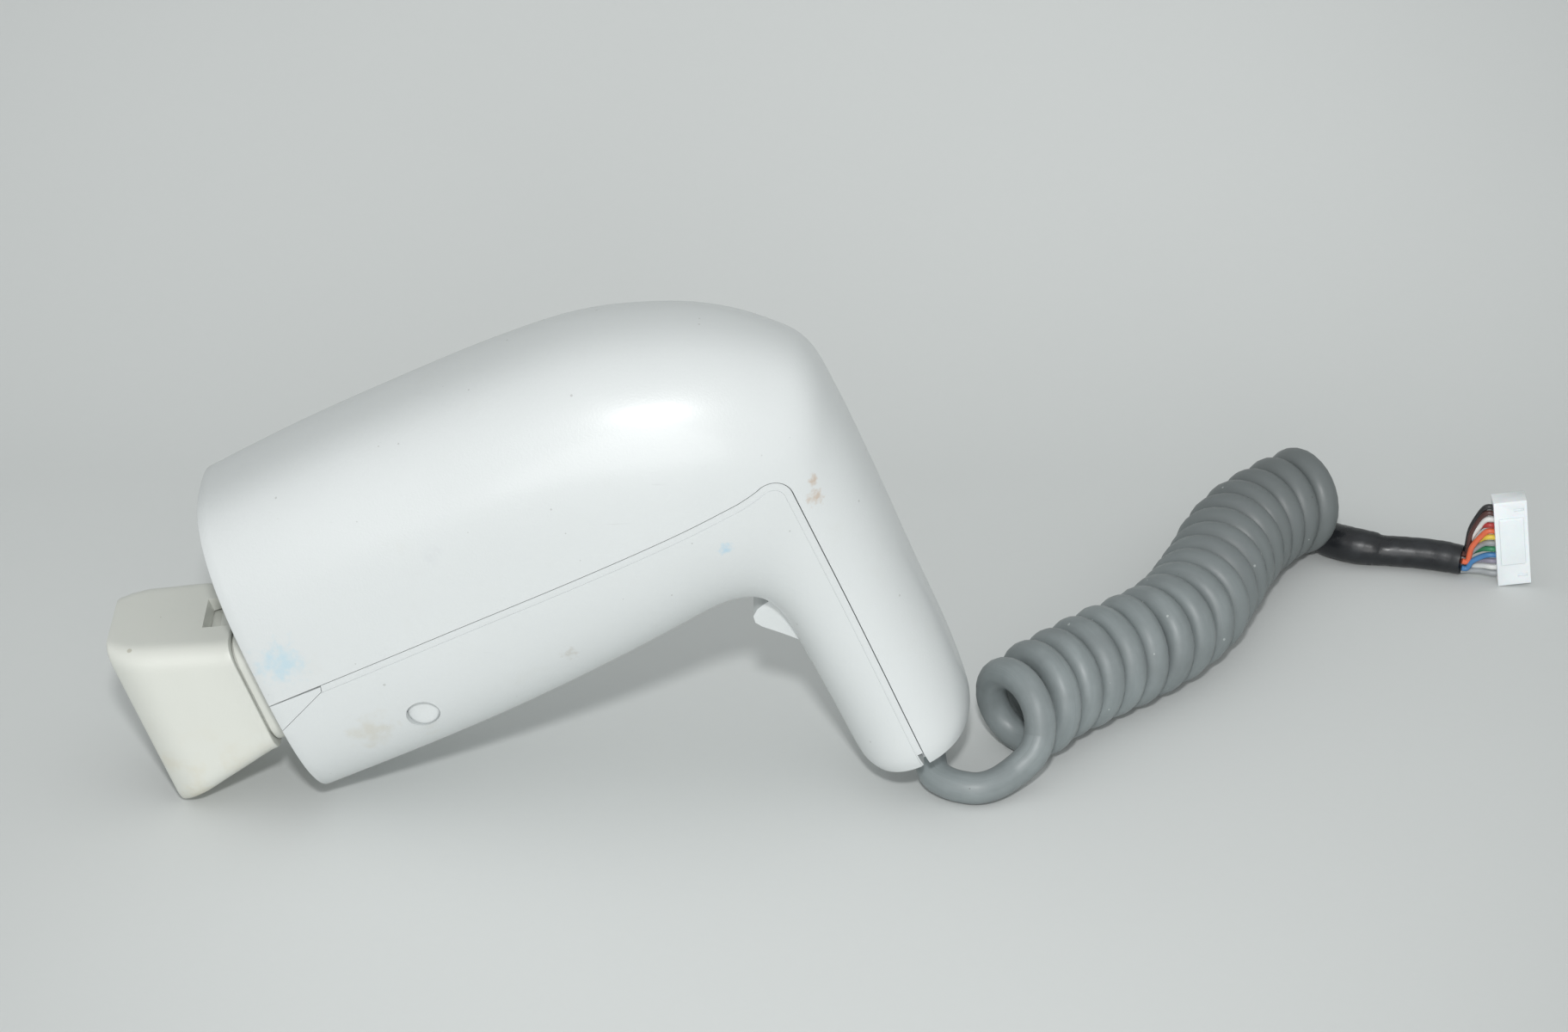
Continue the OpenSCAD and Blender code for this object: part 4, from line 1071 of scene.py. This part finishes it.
def nozzle_shape():
    """An oblong funnel that keeps its depth nearly to the outlet, then rolls in over a
    soft ridge to a flat slot. Its rings run out over the outside and back inside."""
    base_w, base_h = DUCT_W + 4.4, DUCT_H + 4.4
    grow = (OUTLET_H - base_h) / (outlet_x - COLLAR_X + 1.5)

    def outer(x, inset=0.0, w=None):
        w = base_w + (x - COLLAR_X) * 0.085 if w is None else w
        h = base_h + grow * min(0, x - COLLAR_X + 1.5)
        return (x, w - 2 * inset, h - 2 * inset, 4.6 - inset)
    rows = [outer(COLLAR_X, 0.5), outer(COLLAR_X - 0.15, 0.15), outer(COLLAR_X - 0.5)]
    rows += [outer(x) for x in np.linspace(-8, -26, 10)]
    bend = [np.array((-26.0, base_w - 1.7)), np.array((-30.6, base_w - 2.1)),
            np.array((outlet_x + 0.5, OUTLET_W + 0.5))]
    for t in np.linspace(0.08, 1, 14):
        x, w = (1 - t) ** 2 * bend[0] + 2 * t * (1 - t) * bend[1] + t * t * bend[2]
        rows.append(outer(x, 0.0, w))
    rows += [outer(outlet_x + 0.15, 0.12, OUTLET_W), outer(outlet_x, 0.5, OUTLET_W)]
    lip_w, lip_h = OUTLET_W - 2 * NOZZLE_WALL, OUTLET_H - 2 * NOZZLE_WALL
    rows += [(outlet_x, lip_w + 0.8, lip_h + 0.8, 3),
             (outlet_x + 0.2, lip_w + 0.2, lip_h + 0.2, 2.7)]
    deep = COLLAR_X - SPIGOT_L - 1
    for t in np.linspace(0.06, 1, 6):
        rows.append((outlet_x + (deep - outlet_x) * t, lip_w + (DUCT_W - 2 - lip_w) * t,
                     lip_h + (DUCT_H - 2 - lip_h) * t, 2.6 + 1.4 * t))
    pocket = (DUCT_W + 0.6, DUCT_H + 0.6, 5.3)
    rows += [(COLLAR_X - SPIGOT_L - 0.3,) + pocket, (COLLAR_X - 0.2,) + pocket]
    rings = []
    for x, w, h, r in rows:
        flat = rounded(w, h, r, 96)
        rings.append([(x, y, DUCT_Z + z) for y, z in flat])
    body = loft("nozzle_body", rings, IN_MOUTH, ring_shaped=True)
    top = DUCT_Z + DUCT_H / 2 - 1
    return carved(body, cut=[brick("latch_notch", (COLLAR_X - 7, -7, top),
                                   (COLLAR_X + 2, 7, top + 12), IN_MOUTH)])


# --- Trigger -----------------------------------------------------------------

def trigger_shape():
    """The trigger's key with all its edges softened."""
    return soft_edges(merged_copy("trigger", "trigger_key_cap"), 0.7, 25, 4)


# --- Finishes ----------------------------------------------------------------

def shell_place(x, y, z):
    """A place on the shell, from the dryer's frame to the row frame."""
    return tuple(STAND @ Vector((x, y, z)))


def shell_plastic(name, marks):
    """White moulded plastic with a pearly gloss, handled, and stained where marked."""
    m = Finish(name, 0.4, Specular_IOR_Level=0.6, Coat_Weight=0.5, Coat_Roughness=0.19)
    cloud = m.effect(MOTTLE, Scale=16.0)
    colour = m.mix(cloud, tone(199, 203, 203), tone(205, 209, 209))
    grime = m.ramp(m.effect(MOTTLE, Scale=95.0), 0.58, 0.82)
    colour = m.mix(m.math("MULTIPLY", grime, 0.10), colour, tone(186, 184, 172))
    if marks:
        side = 3 - mid_w
        for place, reach, ragged, strength, tint in (
                ((8, side, 3), 9, 500, 0.4, (140, 192, 214)),
                ((53, side, 14), 5, 500, 0.2, (176, 178, 184)),
                ((115, side, -14), 2.6, 900, 0.5, (130, 186, 214)),
                ((18, side, -24), 9, 380, 0.3, (176, 164, 132)),
                ((30, side, -34), 8, 420, 0.22, (178, 168, 140)),
                ((70, side, -25), 4, 900, 0.35, (150, 140, 118)),
                ((138, -21.9, -13), 3.4, 900, 0.7, (176, 150, 124)),
                ((139.5, -21.5, -9), 2.4, 900, 0.7, (176, 150, 124))):
            near = m.effect(STAIN, Centre=shell_place(*place), Reach=reach * MM,
                            Ragged=float(ragged))
            colour = m.mix(m.math("MULTIPLY", near, strength), colour, tone(*tint))
    specks = m.effect(SPECKS, Scale=620.0, Amount=0.03)
    colour = m.mix(m.math("MULTIPLY", specks, 0.35), colour, tone(120, 118, 112))
    scuffs = m.effect(SCUFFS, Scale=70.0, Amount=0.35)
    colour = m.mix(m.math("MULTIPLY", scuffs, 0.16), colour, tone(150, 150, 146))
    m.to("Base Color", colour)
    worn = m.math("ADD", m.ramp(cloud, 0.2, 0.8, 0.38, 0.46), m.math("MULTIPLY", scuffs, 0.2))
    m.to("Roughness", worn)
    m.bump(m.effect(GRAIN, Scale=1800.0, Waves=0.4), 0.3, 0.00014)
    return m.material


def nozzle_plastic():
    """Ivory heat-proof plastic, browner in patches towards the bottom."""
    m = Finish("nozzle plastic", 0.34, Specular_IOR_Level=0.5)
    cloud = m.effect(MOTTLE, Scale=40.0)
    colour = m.mix(cloud, tone(203, 205, 198), tone(209, 211, 204))
    height = m.add("ShaderNodeSeparateXYZ", {0: m.place}).outputs[2]
    low = m.ramp(height, 0.030, 0.002)
    patch = m.ramp(m.effect(MOTTLE, Scale=120.0), 0.42, 0.72)
    colour = m.mix(m.math("MULTIPLY", m.math("MULTIPLY", low, patch), 0.5), colour,
                   tone(196, 186, 160))
    specks = m.effect(SPECKS, Scale=340.0, Amount=0.05)
    colour = m.mix(m.math("MULTIPLY", specks, 0.5), colour, tone(150, 142, 122))
    m.to("Base Color", colour)
    m.to("Roughness", m.ramp(cloud, 0.2, 0.8, 0.3, 0.42))
    m.bump(m.effect(GRAIN, Scale=1100.0, Waves=0.6), 0.2)
    return m.material


def plain_plastic(name, dark, light, roughness, grain=0.2):
    """Any other moulding: two close tones, specks and a fine grain."""
    m = Finish(name, roughness)
    cloud = m.effect(MOTTLE, Scale=80.0)
    colour = m.mix(cloud, tone(*dark), tone(*light))
    specks = m.effect(SPECKS, Scale=400.0, Amount=0.05)
    m.to("Base Color", m.mix(m.math("MULTIPLY", specks, 0.3), colour, tone(140, 138, 132)))
    m.to("Roughness", m.ramp(cloud, 0.2, 0.8, roughness - 0.05, roughness + 0.08))
    m.bump(m.effect(GRAIN, Scale=900.0, Waves=0.4), grain)
    return m.material


def metal(name, dark, light, roughness):
    """Drawn or plated metal with fine lines and a dulled surface."""
    m = Finish(name, roughness, Metallic=1.0)
    cloud = m.effect(MOTTLE, Scale=120.0)
    lines = m.effect(SCUFFS, Scale=150.0, Amount=0.8)
    colour = m.mix(cloud, tone(*dark), tone(*light))
    m.to("Base Color", m.mix(m.math("MULTIPLY", lines, 0.3), colour, tone(90, 90, 90)))
    m.to("Roughness", m.ramp(cloud, 0.2, 0.8, roughness - 0.06, roughness + 0.12))
    m.bump(m.effect(GRAIN, Scale=700.0, Waves=0.2), 0.1)
    return m.material


# --- Assembly ----------------------------------------------------------------

white, ivory = shell_plastic("shell plastic", marks=True), nozzle_plastic()
clip_white = shell_plastic("clip plastic", marks=False)
black = plain_plastic("black plastic", (30, 31, 32), (44, 45, 46), 0.5)
grey = plain_plastic("grey plastic", (176, 180, 178), (196, 200, 198), 0.5)
red = plain_plastic("red plastic", (170, 44, 34), (190, 56, 44), 0.4)
green = plain_plastic("board lacquer", (40, 92, 60), (54, 110, 74), 0.35)
mica = plain_plastic("mica sheet", (176, 158, 116), (196, 180, 138), 0.45, 0.5)
rubber = plain_plastic("grommet rubber", (62, 66, 66), (74, 78, 78), 0.6)
steel = metal("plated steel", (168, 172, 174), (196, 200, 202), 0.32)
bronze = metal("bronze", (150, 104, 60), (180, 130, 84), 0.4)
alloy = metal("heater alloy", (140, 132, 124), (170, 160, 150), 0.4)

hand_over(smoothed(upper_housing()), "housing", "shell", "upper_housing", material=white)
hand_over(smoothed(lower_housing()), "housing", "shell", "lower_housing", material=white)
hand_over(smoothed(corner_clips()), "housing", "clip", "corner_clips", material=clip_white)
hand_over(smoothed(nozzle_shape(), 42), "air_nozzle", "nozzle", "nozzle", material=ivory)
hand_over(trigger_shape(), "trigger_key", "trigger", "trigger", material=clip_white)
hand_over(soft_edges(merged_copy("nozzle_collar", "collar"), 0.3), "housing", "nozzle",
          "nozzle_collar", material=ivory)
hand_over(soft_edges(merged_copy("mouth_plate", "cooling_plate"), 0.25), "housing", "shell",
          "mouth_plate", material=clip_white)

screws = screw_tree()
for side, name in ((-1, "near"), (1, "far")):
    outwards = Matrix.Rotation(-side * pi / 2, 4, "X")
    screw = made_by(screws, name + "_front_screw",
                    STAND @ Matrix.Translation((SCREW_X, side * SCREW_SEAT, SCREW_Z)) @ outwards,
                    Count=1, Spacing=0.0, Height=HEAD_H, Material=steel,
                    Reach=LUG_T + SCREW_FLOOR + CLEAR)
    hand_over(screw, "housing", "steel", *(["housing_screws"] if side < 0 else []))
    hand_over(smoothed(screw_cap(side)), "housing", "shell",
              *(["screw_caps"] if side < 0 else []), material=clip_white)
hand_over(made_by(screws, "clamp_screw_pair",
                  STAND @ Matrix.Translation((joint_x + 5.2, 0, 10 - HANDLE_L))
                  @ Matrix.Rotation(pi / 2, 4, "Y"),
                  Count=2, Spacing=16.0, Head=2.5, Height=1.8, Shank=1.2, Reach=14.0,
                  Material=steel),
          "housing", "steel", "clamp_screws")
hand_over(made_by(winding_tree(), "heater_winding",
                  IN_MOUTH @ Matrix.Translation((0, 0, DUCT_Z)) @ Matrix.Rotation(pi / 2, 4, "Y"),
                  Material=alloy),
          "housing", "wire", "heating_wire")


def screen():
    """The woven lint screen in its frame, behind the air slots."""
    w, h, y = SLOT_L + 3, SLOTS * SLOT_PITCH + 2, 18.7
    x0, z0 = fan_x - w / 2, slot_z - 2.5
    tree, gap = weave_tree(), 1.1
    runs = made_by(tree, "screen_runs", STAND @ Matrix.Translation((x0 + 1, y, z0 + 1.2)),
                   Count=int((h - 2) / gap), Pitch=gap, Length=w - 2.0, Material=steel)
    rises = made_by(tree, "screen_rises", STAND @ Matrix.Translation((x0 + w - 1.2, y, z0 + 1))
                    @ Matrix.Rotation(-pi / 2, 4, "Y"),
                    Count=int((w - 2) / gap), Pitch=gap, Length=h - 2.0, Phase=pi,
                    Material=steel)
    rim = brick("screen_rim", (x0, y - 0.5, z0), (x0 + w, y + 0.5, z0 + h), STAND)
    carved(rim, cut=[brick("window", (x0 + 2, y - 1, z0 + 2), (x0 + w - 2, y + 1, z0 + h - 2),
                           STAND)])
    hand_over(soft_edges(rim, 0.2), "housing", "fan", "lint_screen", material=black)
    hand_over(runs, "housing", "steel")
    hand_over(rises, "housing", "steel")


screen()

FINISHES = {
    black: ("outlet_grille", "fan_wheel", "motor_end_cap", "switch_body",
            "board_parts"),
    grey: ("fan_casing", "fan_cover", "cord_clamp"),
    red: ("switch_plunger",),
    green: ("circuit_board",),
    mica: ("mica_boards", "thermal_fuse"),
    rubber: ("cord_grommet",),
    steel: ("thermostat", "motor_can", "motor_shaft", "trigger_pin", "trigger_spring"),
    bronze: ("shaft_bush", "plug_contacts"),
    ivory: ("heater_duct",),
}
for material, nodes in FINISHES.items():
    for node in nodes:
        mesh = frame["nodes"][node].data
        mesh.materials.clear()
        mesh.materials.append(material)
